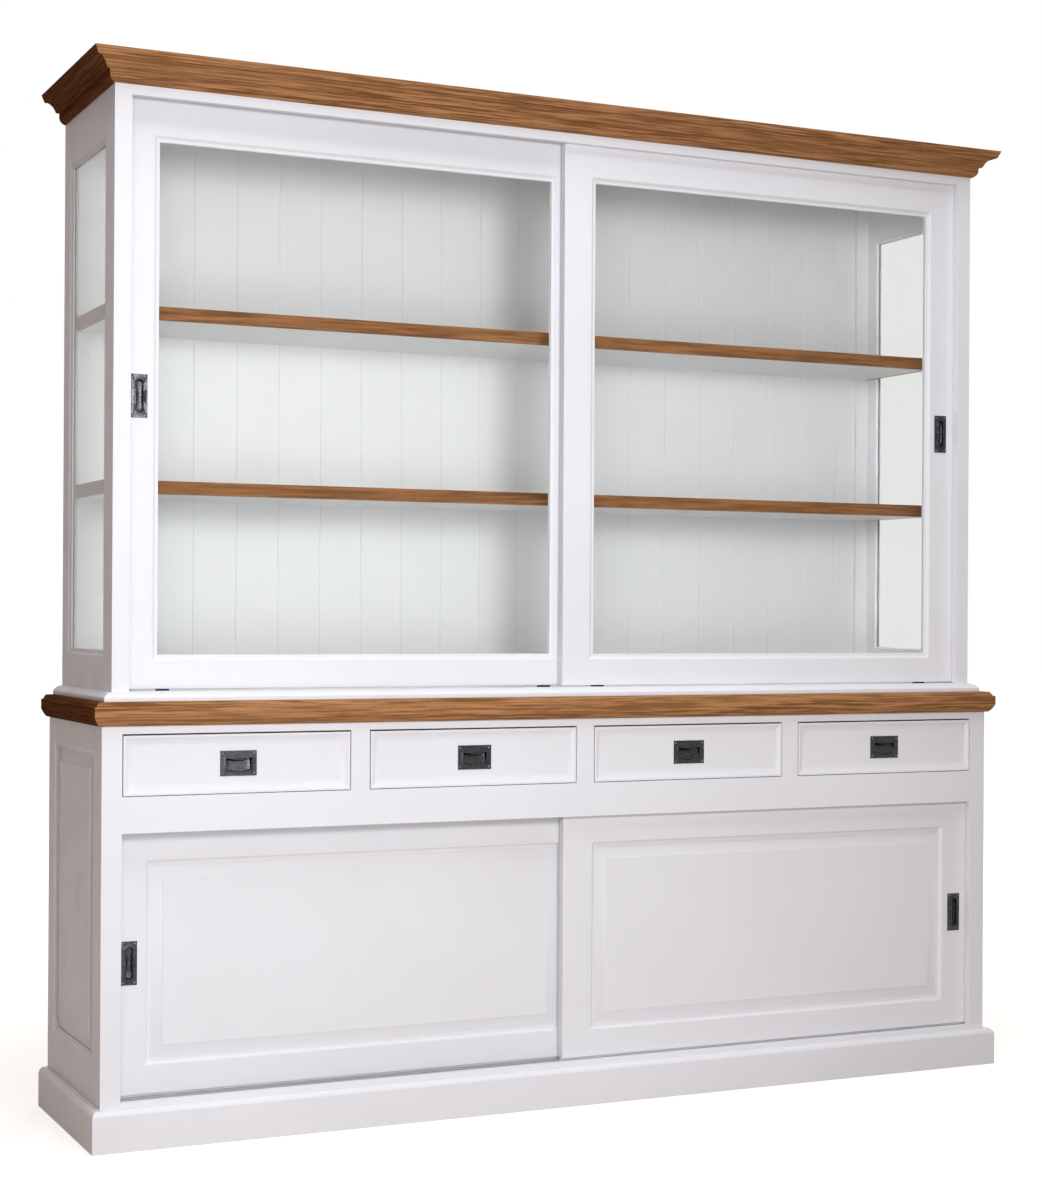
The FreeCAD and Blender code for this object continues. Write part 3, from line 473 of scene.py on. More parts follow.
class Finish(Enum):
    """The finishes on the cabinet."""

    LACQUER = Lacquer()
    # The inside's white lacquer, a little greyer and warmer than the outside's: painted shade for the dimmer light
    # inside the cases.
    INSIDE_SHADED = Lacquer(
        "inside_lacquer_painted_shade", "white_lacquer", (0.765, 0.755, 0.74), (0.748, 0.738, 0.723), (0.79, 0.783, 0.768)
    )
    # A dark warm copy of the lacquer for the underside of the hutch's top: painted shade.
    CEILING_SHADE = Lacquer(
        "ceiling_painted_shade", "white_lacquer", (0.38, 0.34, 0.27), (0.37, 0.33, 0.26), (0.41, 0.37, 0.30)
    )
    # A dark grey copy of the lacquer for the door tracks: painted shade in the gaps under the doors.
    TRACK_SHADE = Lacquer(
        "track_painted_shade", "white_lacquer", (0.40, 0.395, 0.39), (0.375, 0.37, 0.365), (0.44, 0.435, 0.43)
    )
    OAK_X = Wood("oak", "oak", *OAK, Grain.ALONG_X)
    # Grain along Y, with the darker oak: mostly painted shade on the sides.
    OAK_Y = Wood("oak", "oak", *OAK_RETURN_SHADED, Grain.ALONG_Y, shift=(0.7, 0.3, 0.2), shine=0.0)
    OAK_EDGE = Wood("shelf_oak", "oak", *OAK_EDGE, Grain.ALONG_X, shift=(0.2, 0.6, 0.1))
    DRAWER_X = Wood("drawer_wood", "drawer_wood", *BEECH, Grain.ALONG_X, 9.0, 140.0, 0.55)
    DRAWER_Y = Wood("drawer_wood", "drawer_wood", *BEECH, Grain.ALONG_Y, 9.0, 140.0, 0.55)
    PANE = PaneGlass()
    PULL = Metal("pull_metal", "pull_metal", (0.052, 0.052, 0.056), (0.034, 0.034, 0.037), (0.12, 0.12, 0.125), 0.27)
    RAIL = Metal("rail_metal", "rail_metal", (0.72, 0.72, 0.72), (0.60, 0.60, 0.60), (0.85, 0.85, 0.85), 0.3, 30.0, 1.0)
    STEEL = Metal("steel", "steel", (0.42, 0.42, 0.43), (0.26, 0.26, 0.27), (0.65, 0.65, 0.66), 0.36)
    HOUSING = Metal("housing_steel", "steel", (0.050, 0.050, 0.052), (0.030, 0.030, 0.031), (0.12, 0.12, 0.12), 0.45)
    SCREW = Metal("screw_metal", "pull_metal", (0.13, 0.13, 0.137), (0.08, 0.08, 0.084), (0.28, 0.28, 0.29), 0.30)
    NYLON = Nylon()

    def material(self) -> bpy.types.Material:
        """The finish's material, built at its first use."""
        if self.name not in BUILT:
            BUILT[self.name] = self.value.build()
        return BUILT[self.name]


BUILT: dict[str, bpy.types.Material] = {}


# Shapes


class Facing(Enum):
    """The way a face of the cabinet looks."""

    FRONT = "front"
    LEFT = "left"
    RIGHT = "right"

    def place(self, across: float, up: float, out: float) -> Vector:
        """Turn millimetres across, up and out of the face into a point in metres.

        Args:
            across: To the right, as seen from outside.
            up: Above the floor.
            out: Along the face's outward direction, from the cabinet's middle.

        Returns:
            The point.
        """
        if self is Facing.FRONT:
            return Vector((across, -out, up)) * MM
        if self is Facing.LEFT:
            return Vector((-out, -across, up)) * MM
        return Vector((out, across, up)) * MM


@dataclass(frozen=True)
class Field:
    """An upright rectangle in a face, in millimetres."""

    left: float
    right: float
    foot: float
    head: float

    def grown(self, by: float) -> "Field":
        """The rectangle with each side moved out."""
        return Field(self.left - by, self.right + by, self.foot - by, self.head + by)

    def inside(self, left: float, right: float, foot: float, head: float) -> "Field":
        """The rectangle with each side moved in by its own width."""
        return Field(self.left + left, self.right - right, self.foot + foot, self.head - head)

    def corners(self) -> Outline:
        """The corners, anticlockwise as seen from outside."""
        return [(self.left, self.foot), (self.right, self.foot), (self.right, self.head), (self.left, self.head)]


Ring = tuple[Field, float]


def arc(start: Pair, end: Pair, bow: float, steps: int = 6) -> Outline:
    """Points of a shallow arc between two points.

    Args:
        start: The first point, which isn't in the result.
        end: The last point, which is.
        bow: How far the middle stands off the chord, to its left.
        steps: The number of points.

    Returns:
        The points.
    """
    dx, dy = end[0] - start[0], end[1] - start[1]
    length = math.hypot(dx, dy)
    points = []
    for step in range(1, steps + 1):
        share = step / steps
        off = 4 * bow * share * (1 - share)
        points.append((start[0] + dx * share - dy / length * off, start[1] + dy * share + dx / length * off))
    return points


@contextmanager
def opened(mesh: bpy.types.Mesh) -> Iterator[bmesh.types.BMesh]:
    """Open a mesh to be worked on, and write it back.

    Args:
        mesh: The mesh, which changes.

    Yields:
        Its editable copy.
    """
    work = bmesh.new()
    work.from_mesh(mesh)
    yield work
    work.to_mesh(mesh)
    work.free()


class Blank:
    """A mesh in the making: its points, its faces and the finish of each face."""

    def __init__(self) -> None:
        """Start with nothing."""
        self.points: list[Vector] = []
        self.faces: list[tuple[int, ...]] = []
        self.marks: list[int] = []

    def add(self, points: Sequence[Vector], faces: Sequence[Sequence[int]], mark: int = 0) -> None:
        """Add points and faces that count from them.

        Args:
            points: The new points, in metres.
            faces: The faces, anticlockwise from outside.
            mark: The number of the faces' finish.
        """
        first = len(self.points)
        self.points += points
        self.faces += [tuple(first + at for at in face) for face in faces]
        self.marks += [mark] * len(faces)

    def loft(self, rings: Sequence[Sequence[Vector]], closed: bool = False, capped: bool = False) -> None:
        """Join loops of equal counts, from the back or outside to the front or inside.

        Args:
            rings: The loops, anticlockwise from outside.
            closed: Whether the last loop joins the first.
            capped: Whether the first and last loops are filled.
        """
        count, total = len(rings[0]), len(rings)
        points = [point for ring in rings for point in ring]
        faces = []
        for row in range(total if closed else total - 1):
            here, there = row * count, ((row + 1) % total) * count
            for at in range(count):
                after = (at + 1) % count
                faces.append((here + at, here + after, there + after, there + at))
        if capped:
            faces.append(tuple(reversed(range(count))))
            faces.append(tuple(range((total - 1) * count, total * count)))
        self.add(points, faces)

    def fields(self, facing: Facing, rings: Sequence[Ring], closed: bool = False, capped: bool = False) -> None:
        """Join nested rectangles, each at its own distance out of a face."""
        loops = [[facing.place(u, v, out) for u, v in field.corners()] for field, out in rings]
        self.loft(loops, closed, capped)

    def block(self, low: Triple, high: Triple) -> None:
        """Add a board.

        Args:
            low: Its lowest corner, in millimetres.
            high: Its highest corner.
        """
        loops = []
        for level in (low[2], high[2]):
            corners = ((low[0], low[1]), (high[0], low[1]), (high[0], high[1]), (low[0], high[1]))
            loops.append([Vector((x, y, level)) * MM for x, y in corners])
        self.loft(loops, capped=True)

    def molding(self, outline: Outline, half: float, front: float, rear: float, sides: int = 1) -> None:
        """Run an outline along the left end, the front and the right end, mitred at the corners.

        Args:
            outline: Reach and height, round the molding's section with its body on the left.
            half: Half the width between the ends.
            front: How far the front stands out, in millimetres.
            rear: Where the molding ends at the back.
            sides: The number of the finish on the ends' faces.
        """
        stations = []
        for reach, height in outline:
            wide, deep = half + reach, front + reach
            stops = ((-wide, rear), (-wide, -deep), (wide, -deep), (wide, rear))
            stations.append([Vector((x, y, height)) * MM for x, y in stops])
        count = len(stations)
        points = [point for station in stations for point in station]
        for run, mark in ((0, sides), (1, 0), (2, sides)):
            faces = []
            for at in range(count):
                here, there = at * 4 + run, ((at + 1) % count) * 4 + run
                faces.append((here, here + 1, there + 1, there))
            self.add(points, faces, mark)
        self.add(points, [tuple(at * 4 for at in range(count))], sides)
        self.add(points, [tuple(at * 4 + 3 for at in reversed(range(count)))], sides)

    def mesh(self, name: str) -> bpy.types.Mesh:
        """Make the mesh.

        Args:
            name: The mesh's name.

        Returns:
            The mesh, with smooth faces and with points at one place joined.
        """
        made = bpy.data.meshes.new(name)
        made.from_pydata(self.points, [], self.faces)
        for polygon, mark in zip(made.polygons, self.marks):
            polygon.material_index = mark
            polygon.use_smooth = True
        with opened(made) as work:
            bmesh.ops.remove_doubles(work, verts=work.verts, dist=2e-6)
            loose = [vert for vert in work.verts if not vert.link_faces]
            bmesh.ops.delete(work, geom=loose, context="VERTS")
        return made

    def piece(self, title: str, body: str, eased: float, *nodes: str, finishes: Sequence[Finish] = ()) -> Piece:
        """Make a finished piece, of white lacquer where no finishes are given; see eased_piece."""
        return eased_piece(self.mesh(title), title, body, eased, finishes or [Finish.LACQUER], *nodes)


def board_with_openings(outer: Field, openings: Sequence[Field], back: float, front: float) -> Blank:
    """A flat board in the front's plane with rectangular openings.

    Args:
        outer: The board's edge.
        openings: The openings inside it.
        back: How far out its back lies.
        front: How far out its front lies.

    Returns:
        The board.
    """
    blank, place = Blank(), Facing.FRONT.place
    fields = (outer, *openings)
    uprights = sorted({side for field in fields for side in (field.left, field.right)})
    levels = sorted({side for field in fields for side in (field.foot, field.head)})
    columns, rows = (list(zip(line[:-1], line[1:])) for line in (uprights, levels))

    def solid(at: int, level: int) -> bool:
        """Whether the board has wood in a cell.

        Args:
            at: The cell's column.
            level: Its row.

        Returns:
            Whether it has.
        """
        if not (0 <= at < len(columns) and 0 <= level < len(rows)):
            return False
        u, v = sum(columns[at]) / 2, sum(rows[level]) / 2
        return not any(field.left < u < field.right and field.foot < v < field.head for field in openings)

    for at, (left, right) in enumerate(columns):
        for level, (foot, head) in enumerate(rows):
            if not solid(at, level):
                continue
            cell = Field(left, right, foot, head).corners()
            near = [place(u, v, front) for u, v in cell]
            far = [place(u, v, back) for u, v in cell]
            blank.add(near, [(0, 1, 2, 3)])
            blank.add(far, [(3, 2, 1, 0)])
            for side, (step, rise) in enumerate(((0, -1), (1, 0), (0, 1), (-1, 0))):
                if not solid(at + step, level + rise):
                    after = (side + 1) % 4
                    blank.add([far[side], far[after], near[after], near[side]], [(0, 1, 2, 3)])
    return blank


def drop_inner(mesh: bpy.types.Mesh, half: float, front: float, back: float) -> None:
    """Take away the upright faces where a core meets the band round it.

    Args:
        mesh: The mesh, which changes.
        half: Half the core's width in millimetres.
        front: Where the core's front lies.
        back: Where its back lies.
    """
    near = 0.1
    with opened(mesh) as work:
        inner = []
        for face in work.faces:
            centre = face.calc_center_median() / MM
            upright = abs(face.normal.z) < 0.1
            if upright and abs(centre.x) < half + near and front - near < centre.y < back - near:
                inner.append(face)
        bmesh.ops.delete(work, geom=inner, context="FACES")
        bmesh.ops.recalc_face_normals(work, faces=work.faces)


def link(name: str, data: bpy.types.ID) -> bpy.types.Object:
    """Put an object in the scene.

    Args:
        name: The object's name.
        data: Its mesh, lamp or camera data.

    Returns:
        The object.
    """
    made = bpy.data.objects.new(name, data)
    bpy.context.scene.collection.objects.link(made)
    return made


def show(mesh: bpy.types.Mesh, name: str, finishes: Sequence[Finish]) -> Piece:
    """Put a mesh in the scene with its finishes.

    Args:
        mesh: The mesh, in its place.
        name: The piece's name.
        finishes: The finishes its faces count through.

    Returns:
        The object.
    """
    for finish in finishes:
        mesh.materials.append(finish.material())
    return link(name, mesh)


def settle(piece: Piece) -> None:
    """Turn the result of a piece's modifiers into its plain mesh and remove them.

    Args:
        piece: The piece, whose mesh changes.
    """
    graph = bpy.context.evaluated_depsgraph_get()
    made = bpy.data.meshes.new_from_object(piece.evaluated_get(graph), depsgraph=graph)
    piece.modifiers.clear()
    piece.data = made


def cut(piece: Piece, low: Triple, high: Triple) -> None:
    """Cut a rectangular pocket out of a piece.

    Args:
        piece: The piece, whose mesh changes.
        low: The pocket's lowest corner, in millimetres.
        high: Its highest corner.
    """
    tool = Blank()
    tool.block(low, high)
    cutter = link("cutter", tool.mesh("cutter"))
    boolean = piece.modifiers.new("cut", "BOOLEAN")
    boolean.operation, boolean.solver, boolean.object = "DIFFERENCE", "EXACT", cutter
    settle(piece)
    bpy.data.objects.remove(cutter)
    smooth(piece)


def smooth(piece: Piece) -> None:
    """Shade all of a piece's faces smoothly."""
    piece.data.polygons.foreach_set("use_smooth", [True] * len(piece.data.polygons))


def ease(piece: Piece, width: float) -> None:
    """Round a piece's edges and keep its flats flat.

    Args:
        piece: The piece.
        width: The rounding's width in millimetres.
    """
    bevel = piece.modifiers.new("eased_edges", "BEVEL")
    bevel.width, bevel.segments = width * MM, 2
    bevel.limit_method, bevel.angle_limit = "ANGLE", math.radians(32.0)
    bevel.use_clamp_overlap, bevel.harden_normals = True, False
    shading = piece.modifiers.new("flat_flats", "WEIGHTED_NORMAL")
    shading.mode, shading.weight, shading.keep_sharp = "FACE_AREA", 90, True


def finish_piece(piece: Piece, body: str, finish: Finish, *nodes: str) -> Piece:
    """Tie a piece to its body, and let it stand for its CAD nodes.

    Args:
        piece: The piece.
        body: The body that carries it.
        finish: Its first finish; not used.
        nodes: The CAD nodes that it stands for.

    Returns:
        The piece.
    """
    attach(piece, body)
    if nodes:
        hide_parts(*nodes)
    LOG.info("%s: %d faces on %s", piece.name, len(piece.data.polygons), body)
    return piece


def eased_piece(
    mesh: bpy.types.Mesh, title: str, body: str, eased: float, finishes: Sequence[Finish], *nodes: str
) -> Piece:
    """Make a finished piece with rounded edges.

    Args:
        mesh: The mesh, in its place.
        title: The piece's name.
        body: The body that carries it.
        eased: How far its edges are rounded, in millimetres.
        finishes: The finishes its faces count through.
        nodes: The CAD nodes that it stands for.

    Returns:
        The piece.
    """
    piece = show(mesh, title, finishes)
    ease(piece, eased)
    return finish_piece(piece, body, finishes[0], *nodes)


def key_of(point: Vector) -> tuple[int, ...]:
    """A point's place in steps of five micrometres."""
    return tuple(round(part * 2e5) for part in point)


def solids_of(node: str) -> list[list[list[Vector]]]:
    """The closed solids in a CAD node's mesh.

    Args:
        node: The node's name.

    Returns:
        Each solid as a list of faces, each face as a list of points.
    """
    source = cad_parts[node].data
    solids: list[list[list[Vector]]] = []
    faces: list[list[Vector]] = []
    waiting: set[tuple[tuple[int, ...], tuple[int, ...]]] = set()
    for polygon in source.polygons:
        points = [source.vertices[at].co.copy() for at in polygon.vertices]
        keys = [key_of(point) for point in points]
        for first, second in zip(keys, keys[1:] + keys[:1]):
            if (second, first) in waiting:
                waiting.remove((second, first))
            else:
                waiting.add((first, second))
        faces.append(points)
        if not waiting:
            solids.append(faces)
            faces = []
    if faces:
        solids.append(faces)
    return solids


def merged_mesh(node: str, pick: Optional[Pick] = None) -> bpy.types.Mesh:
    """A mesh with a CAD node's shape, each of its solids merged on its own.

    Args:
        node: The node's name.
        pick: Chooses the number of a solid's finish by its size.

    Returns:
        The mesh, with flat faces joined.
    """
    work = bmesh.new()
    for faces in solids_of(node):
        made: dict[tuple[int, ...], bmesh.types.BMVert] = {}
        spots = [point for face in faces for point in face]
        size = Vector([max(p[axis] for p in spots) - min(p[axis] for p in spots) for axis in range(3)])
        mark = pick(size) if pick else 0
        for face in faces:
            verts = []
            for point in face:
                if key_of(point) not in made:
                    made[key_of(point)] = work.verts.new(point)
                verts.append(made[key_of(point)])
            if len(set(verts)) == len(verts):
                polygon = work.faces.get(verts) or work.faces.new(verts)
                polygon.material_index, polygon.smooth = mark, True
    flat = math.radians(0.4)
    bmesh.ops.dissolve_limit(work, angle_limit=flat, verts=work.verts, edges=work.edges, delimit={"MATERIAL"})
    mesh = bpy.data.meshes.new(node)
    work.to_mesh(mesh)
    work.free()
    return mesh


def plain_copy(
    node: str, title: str, body: str, eased: float, *finishes: Finish, pick: Optional[Pick] = None
) -> Piece:
    """A finished piece with a CAD node's shape; see merged_mesh and eased_piece."""
    return eased_piece(merged_mesh(node, pick), title, body, eased, finishes, node)


def longest(size: Vector) -> int:
    """Number 0 for a solid that is longest along X, 1 for one along Y."""
    return 0 if size.x >= size.y else 1


# What repeats


class Repeat:
    """A Geometry Nodes tree with named inputs that sets copies of a part in place."""

    def __init__(self, name: str, inputs: dict[str, object]) -> None:
        """Make the tree's sockets.

        Args:
            name: The tree's name.
            inputs: A default for each input; an object or material input is given its type.
        """
        self.tree = bpy.data.node_groups.new(name, "GeometryNodeTree")
        self.tree.is_modifier = True
        kinds = {int: "NodeSocketInt", float: NUMBER, tuple: "NodeSocketVector"}
        self.tree.interface.new_socket("Geometry", in_out="INPUT", socket_type="NodeSocketGeometry")
        self.keys: dict[str, str] = {}
        for title, value in inputs.items():
            kind = value if isinstance(value, str) else kinds[type(value)]
            made = self.tree.interface.new_socket(title, in_out="INPUT", socket_type=kind)
            if not isinstance(value, str):
                made.default_value = value
            self.keys[title] = made.identifier
        self.tree.interface.new_socket("Geometry", in_out="OUTPUT", socket_type="NodeSocketGeometry")
        self.wiring = Wiring(self.tree)
        self.start = self.wiring.node("NodeGroupInput").outputs
        self.end = self.wiring.node("NodeGroupOutput").inputs

    def close(self, instances: Socket) -> None:
        """Realize the copies, give them the material and end the tree.

        Args:
            instances: The copies.
        """
        real = self.wiring.node("GeometryNodeRealizeInstances", {0: instances})
        dressed = self.wiring.node(
            "GeometryNodeSetMaterial", {"Geometry": real.outputs[0], "Material": self.start["Finish"]}
        )
        self.wiring.feed(self.end[0], dressed.outputs[0])

    def run(self, name: str, points: Sequence[Vector], finish: Finish, **values: object) -> Piece:
        """Make a piece from points with the tree's inputs filled.

        Args:
            name: The piece's name.
            points: Where the copies start from, in metres.
            finish: The piece's finish.
            values: The inputs' values, by title with underscores for spaces.

        Returns:
            A piece with a plain mesh.
        """
        mesh = bpy.data.meshes.new(name)
        mesh.from_pydata(points, [], [])
        piece = show(mesh, name, [finish])
        modifier = piece.modifiers.new("repeat", "NODES")
        modifier.node_group = self.tree
        for title, value in {**values, "Finish": finish.material()}.items():
            modifier[self.keys[title.replace("_", " ")]] = value
        settle(piece)
        smooth(piece)
        return piece


def fastener_tree() -> Repeat:
    """Heads on points, each turned about the face's outward direction by chance.

    Returns:
        The tree.
    """
    inputs = {"Head": "NodeSocketObject", "Facing": (0.0, 0.0, 0.0), "Most Turn": 6.283, "Seed": 7}
    tree = Repeat("fasteners", {**inputs, "Finish": "NodeSocketMaterial"})
    w, start = tree.wiring, tree.start
    head = w.node("GeometryNodeObjectInfo", {"Object": start["Head"]})
    placed = w.node("GeometryNodeInstanceOnPoints", {"Points": start["Geometry"], "Instance": head.outputs["Geometry"]})
    chance = w.node("FunctionNodeRandomValue", data_type="FLOAT")
    w.feed(chance.inputs[3], start["Most Turn"])
    w.feed(chance.inputs["Seed"], start["Seed"])
    spin = w.node("ShaderNodeCombineXYZ", {"Z": chance.outputs[1]}).outputs[0]
    w.feed(placed.inputs["Rotation"], start["Facing"])
    turned = w.node("GeometryNodeRotateInstances", {0: placed.outputs[0], "Rotation": spin})
    tree.close(turned.outputs[0])
    return tree


def row_tree() -> Repeat:
    """A part repeated at a pitch from each starting point.

    Returns:
        The tree.
    """
    inputs = {"Part": "NodeSocketObject", "Count": 18, "Pitch": (0.1, 0.0, 0.0)}
    tree = Repeat("row", {**inputs, "Finish": "NodeSocketMaterial"})
    w, start = tree.wiring, tree.start
    line = w.node("GeometryNodeMeshLine", {"Count": start["Count"], "Offset": start["Pitch"]}, mode="OFFSET")
    steps = w.node("GeometryNodeInstanceOnPoints", {"Points": start["Geometry"], "Instance": line.outputs[0]})
    spots = w.node("GeometryNodeRealizeInstances", {0: steps.outputs[0]})
    part = w.node("GeometryNodeObjectInfo", {"Object": start["Part"]})
    placed = w.node("GeometryNodeInstanceOnPoints", {"Points": spots.outputs[0], "Instance": part.outputs["Geometry"]})
    tree.close(placed.outputs[0])
    return tree


PARTS: list[Piece] = []


def part_object(blank: Blank, name: str) -> Piece:
    """A part for a tree to repeat, at the origin; it is removed once the trees have run."""
    PARTS.append(link(name, blank.mesh(name)))
    return PARTS[-1]


# The cabinet


DRAWERS = 4
# The moldings' ends take the second finish, whose darker oak is mostly painted shade on the sides.
OAK_RUNS = (Finish.OAK_X, Finish.OAK_Y)
DRAWER_WOODS = (Finish.DRAWER_X, Finish.DRAWER_Y)


@dataclass
class Case:
    """The places that the two cases share, in millimetres."""

    back: float = 240.0
    base_half: float = 1079.0
    base_front: float = 218.0
    hutch_half: float = 1052.0
    hutch_front: float = 187.0
    counter_foot: float = 848.0
    counter_top: float = 896.0
    hutch_head: float = 2164.0
    height: float = 2200.0


@dataclass
class FramedEnd:
    """An end of a case: a frame with a molding round a panel or a pane."""

    case: str
    facing: Facing
    half: float
    up: Pair
    front: float
    thickness: float
    stiles: Pair
    rails: Pair
    molding_depth: float
    molding_width: float = 12.0
    back: float = 240.0

    def edge(self) -> Field:
        """The frame's outer edge, left and right as seen from outside."""
        if self.facing is Facing.LEFT:
            return Field(-self.back, self.front, *self.up)
        return Field(-self.front, self.back, *self.up)

    def flat(self) -> Field:
        """The edge of the flat face, where the molding starts.

        Returns:
            The edge, left and right as seen from outside.
        """
        front, back = self.stiles
        left, right = (back, front) if self.facing is Facing.LEFT else (front, back)
        return self.edge().inside(left, right, *self.rails)

    def frame(self, seat: float, seat_depth: float) -> Piece:
        """Build the frame.

        Args:
            seat: How far the rabbet or groove runs behind the molding.
            seat_depth: How deep behind the face it starts.

        Returns:
            The frame.
        """
        molding = (self.molding_width, self.molding_depth)
        rings = frame_rings(self.edge(), self.flat(), self.half, self.thickness, molding, (seat, seat_depth))
        blank = Blank()
        blank.fields(self.facing, rings, closed=True)
        name = f"{self.case}_{self.facing.value}_side_frame"
        return blank.piece(f"{name}_piece", "cabinet", 0.7, name)


def frame_rings(edge: Field, flat: Field, out: float, thickness: float, molding: Pair, seat: Pair) -> list[Ring]:
    """A frame with a quirk, an ovolo and a thin fillet round its opening, and a rabbet or groove behind them.

    Args:
        edge: The frame's outer edge.
        flat: The edge of the flat face, where the molding starts.
        out: How far out the face lies.
        thickness: The frame's thickness.
        molding: The molding's width, and how deep its inner edge lies.
        seat: How far the rabbet or groove runs behind the molding, and how deep it starts.

    Returns:
        The rings round the frame's section, from its outer back edge.
    """
    (width, depth), (behind, start) = molding, seat
    quirk, fillet = 0.16 * depth, 0.72 * depth
    profile: Outline = [(0.0, quirk), (0.12 * width, quirk)]
    profile += arc(profile[-1], (0.80 * width, fillet), 0.15 * depth, 7)
    profile += [(width, fillet), (width, depth)]
    rear, sight = out - thickness, flat.grown(-width)
    rings = [(edge, rear), (edge, out), (flat, out)]
    rings += [(flat.grown(-inset), out - deep) for inset, deep in profile]
    return rings + [(sight, out - start), (sight.grown(behind), out - start), (sight.grown(behind), rear)]


def raised_rings(sight: Field, out: float, back: float, edge: float, crest: float, field: float) -> list[Ring]:
    """A raised panel: its tongue, a broad bevel, a small step and the field.

    Args:
        sight: The opening that shows it.
        out: How far out the frame's face lies.
        back: How far out the panel's back lies.
        edge: How deep behind the face the bevel starts.
        crest: How deep the bevel ends.
        field: How deep the field lies.

    Returns:
        The rings from the back's edge to the field's.
    """
    tongue, bevel, step = 9.0, 25.0, 0.3
    rings = [(sight.grown(tongue), back), (sight.grown(tongue), out - edge), (sight, out - edge)]
    rings += [(sight.grown(-u), out - deep) for u, deep in arc((0.0, edge), (bevel, crest), 0.35, 5)]
    rings += [(sight.grown(-bevel - step), out - field)]
    return rings


@dataclass
class BaseCase:
    """The lower case: plinth, frame, ends, floor, shelves, divider, guides and tracks."""

    case: Case
    plinth_reach: float = 20.0
    plinth_flat: float = 73.0
    plinth_top: float = 84.5
    frame_thickness: float = 16.0
    door_opening: Pair = (94.0, 632.0)
    drawer_openings: Pair = (705.8, 831.5)
    opening_half: float = 1037.0
    drawer_pitch: float = 529.0
    drawer_width: float = 487.0

    def plinth(self) -> Piece:
        """The base molding round the foot, with a rounded upper edge.

        Returns:
            The molding.
        """
        top = (11.0, self.plinth_top)
        outline: Outline = [(0.0, 0.0), (self.plinth_reach, 0.0), (self.plinth_reach, self.plinth_flat)]
        outline += arc(outline[-1], top, -1.5, 6) + [(0.0, self.plinth_top)]
        blank = Blank()
        blank.molding(outline, self.case.base_half, self.case.base_front, self.case.back, 0)
        return blank.piece("plinth_molding", "cabinet", 0.9, "plinth")

    def face_frame(self) -> Piece:
        """Stiles and rails round four drawers and the pair of doors.

        Returns:
            The frame.
        """
        half, front = self.case.base_half, self.case.base_front
        openings = [Field(-self.opening_half, self.opening_half, *self.door_opening)]
        for at in range(DRAWERS):
            left = -self.opening_half + self.drawer_pitch * at
            openings.append(Field(left, left + self.drawer_width, *self.drawer_openings))
        outer = Field(-half, half, 0.0, self.case.counter_foot)
        blank = board_with_openings(outer, openings, front - self.frame_thickness, front)
        mesh = blank.mesh("base_face_frame")
        with opened(mesh) as work:
            bmesh.ops.dissolve_limit(work, angle_limit=0.01, verts=work.verts, edges=work.edges)
        return eased_piece(mesh, "base_frame_boards", "cabinet", 0.8, [Finish.LACQUER], "base_face_frame")

    def ends(self) -> list[Piece]:
        """The two framed ends with their raised panels.

        Returns:
            A frame and a panel for each end.
        """
        pieces = []
        for facing in (Facing.LEFT, Facing.RIGHT):
            end = FramedEnd(
                "base",
                facing,
                half=self.case.base_half,
                up=(0.0, self.case.counter_foot),
                front=self.case.base_front - self.frame_thickness,
                thickness=22.0,
                stiles=(48.0, 54.0),
                rails=(171.0, 53.0),
                molding_depth=7.0,
            )
            pieces.append(end.frame(seat=9.3, seat_depth=7.3))
            sight = end.flat().grown(-end.molding_width)
            blank = Blank()
            rings = raised_rings(sight, end.half, back=end.half - 14.0, edge=8.0, crest=3.0, field=1.5)
            blank.fields(facing, rings, capped=True)
            name = f"base_{facing.value}_side_panel"
            pieces.append(blank.piece(f"{name}_raised", "cabinet", 0.5, name))
        return pieces

    def boards(self) -> list[Piece]:
        """The plain boards inside, each with eased edges.

        Returns:
            The boards, the drawer runners and the shelf pegs.
        """
        plain = ("base_floor", "base_partition", "base_shelves", "drawer_divider", "door_tracks", "base_back_panel")
        pieces = []
        for node in plain:
            # The tracks take the dark grey lacquer: painted shade in the gap under the doors.
            finish = Finish.TRACK_SHADE if node == "door_tracks" else Finish.LACQUER
            pieces.append(plain_copy(node, f"{node}_boards", "cabinet", 0.7, finish))
        guides = ("drawer_guides", "drawer_runner_boards", "cabinet", 0.7)
        pieces.append(plain_copy(*guides, *DRAWER_WOODS, pick=longest))
        pieces.append(plain_copy("shelf_pins", "shelf_pegs", "cabinet", 0.25, Finish.STEEL))
        return pieces

    def build(self) -> list[Piece]:
        """All the pieces of the lower case."""
        return [self.plinth(), self.face_frame(), *self.ends(), *self.boards()]


@dataclass
class Countertop:
    """The oak top: a core with a moulded band mitred round its ends and front."""

    case: Case
    band: float = 58.0

    def outline(self) -> Outline:
        """The band's section: a sloped lower edge, a flat, a small step and a slope to the top.

        Returns:
            The section, as reach beyond the case and height.
        """
        foot, top = self.case.counter_foot, self.case.counter_top
        points: Outline = [(-self.band, foot), (7.0, foot)]
        reach, step = 19.0, top - 9.5
        points += arc(points[-1], (reach, foot + 18.0), -1.2, 5)
        points += [(reach, step), (14.5, step)]
        points += arc(points[-1], (8.0, top), -0.9, 5)
        return points + [(-self.band, top)]

    def build(self) -> list[Piece]:
        """The countertop in one piece, with grain along each run.

        Returns:
            The countertop, in a list of one.
        """
        blank = Blank()
        blank.molding(self.outline(), self.case.base_half, self.case.base_front, self.case.back)
        half, front = self.case.base_half - self.band, self.case.base_front - self.band
        blank.block((-half, -front, self.case.counter_foot), (half, self.case.back, self.case.counter_top))
        mesh = blank.mesh("countertop")
        drop_inner(mesh, half, -front, self.case.back)
        return [eased_piece(mesh, "oak_counter", "cabinet", 0.5, OAK_RUNS, "countertop")]


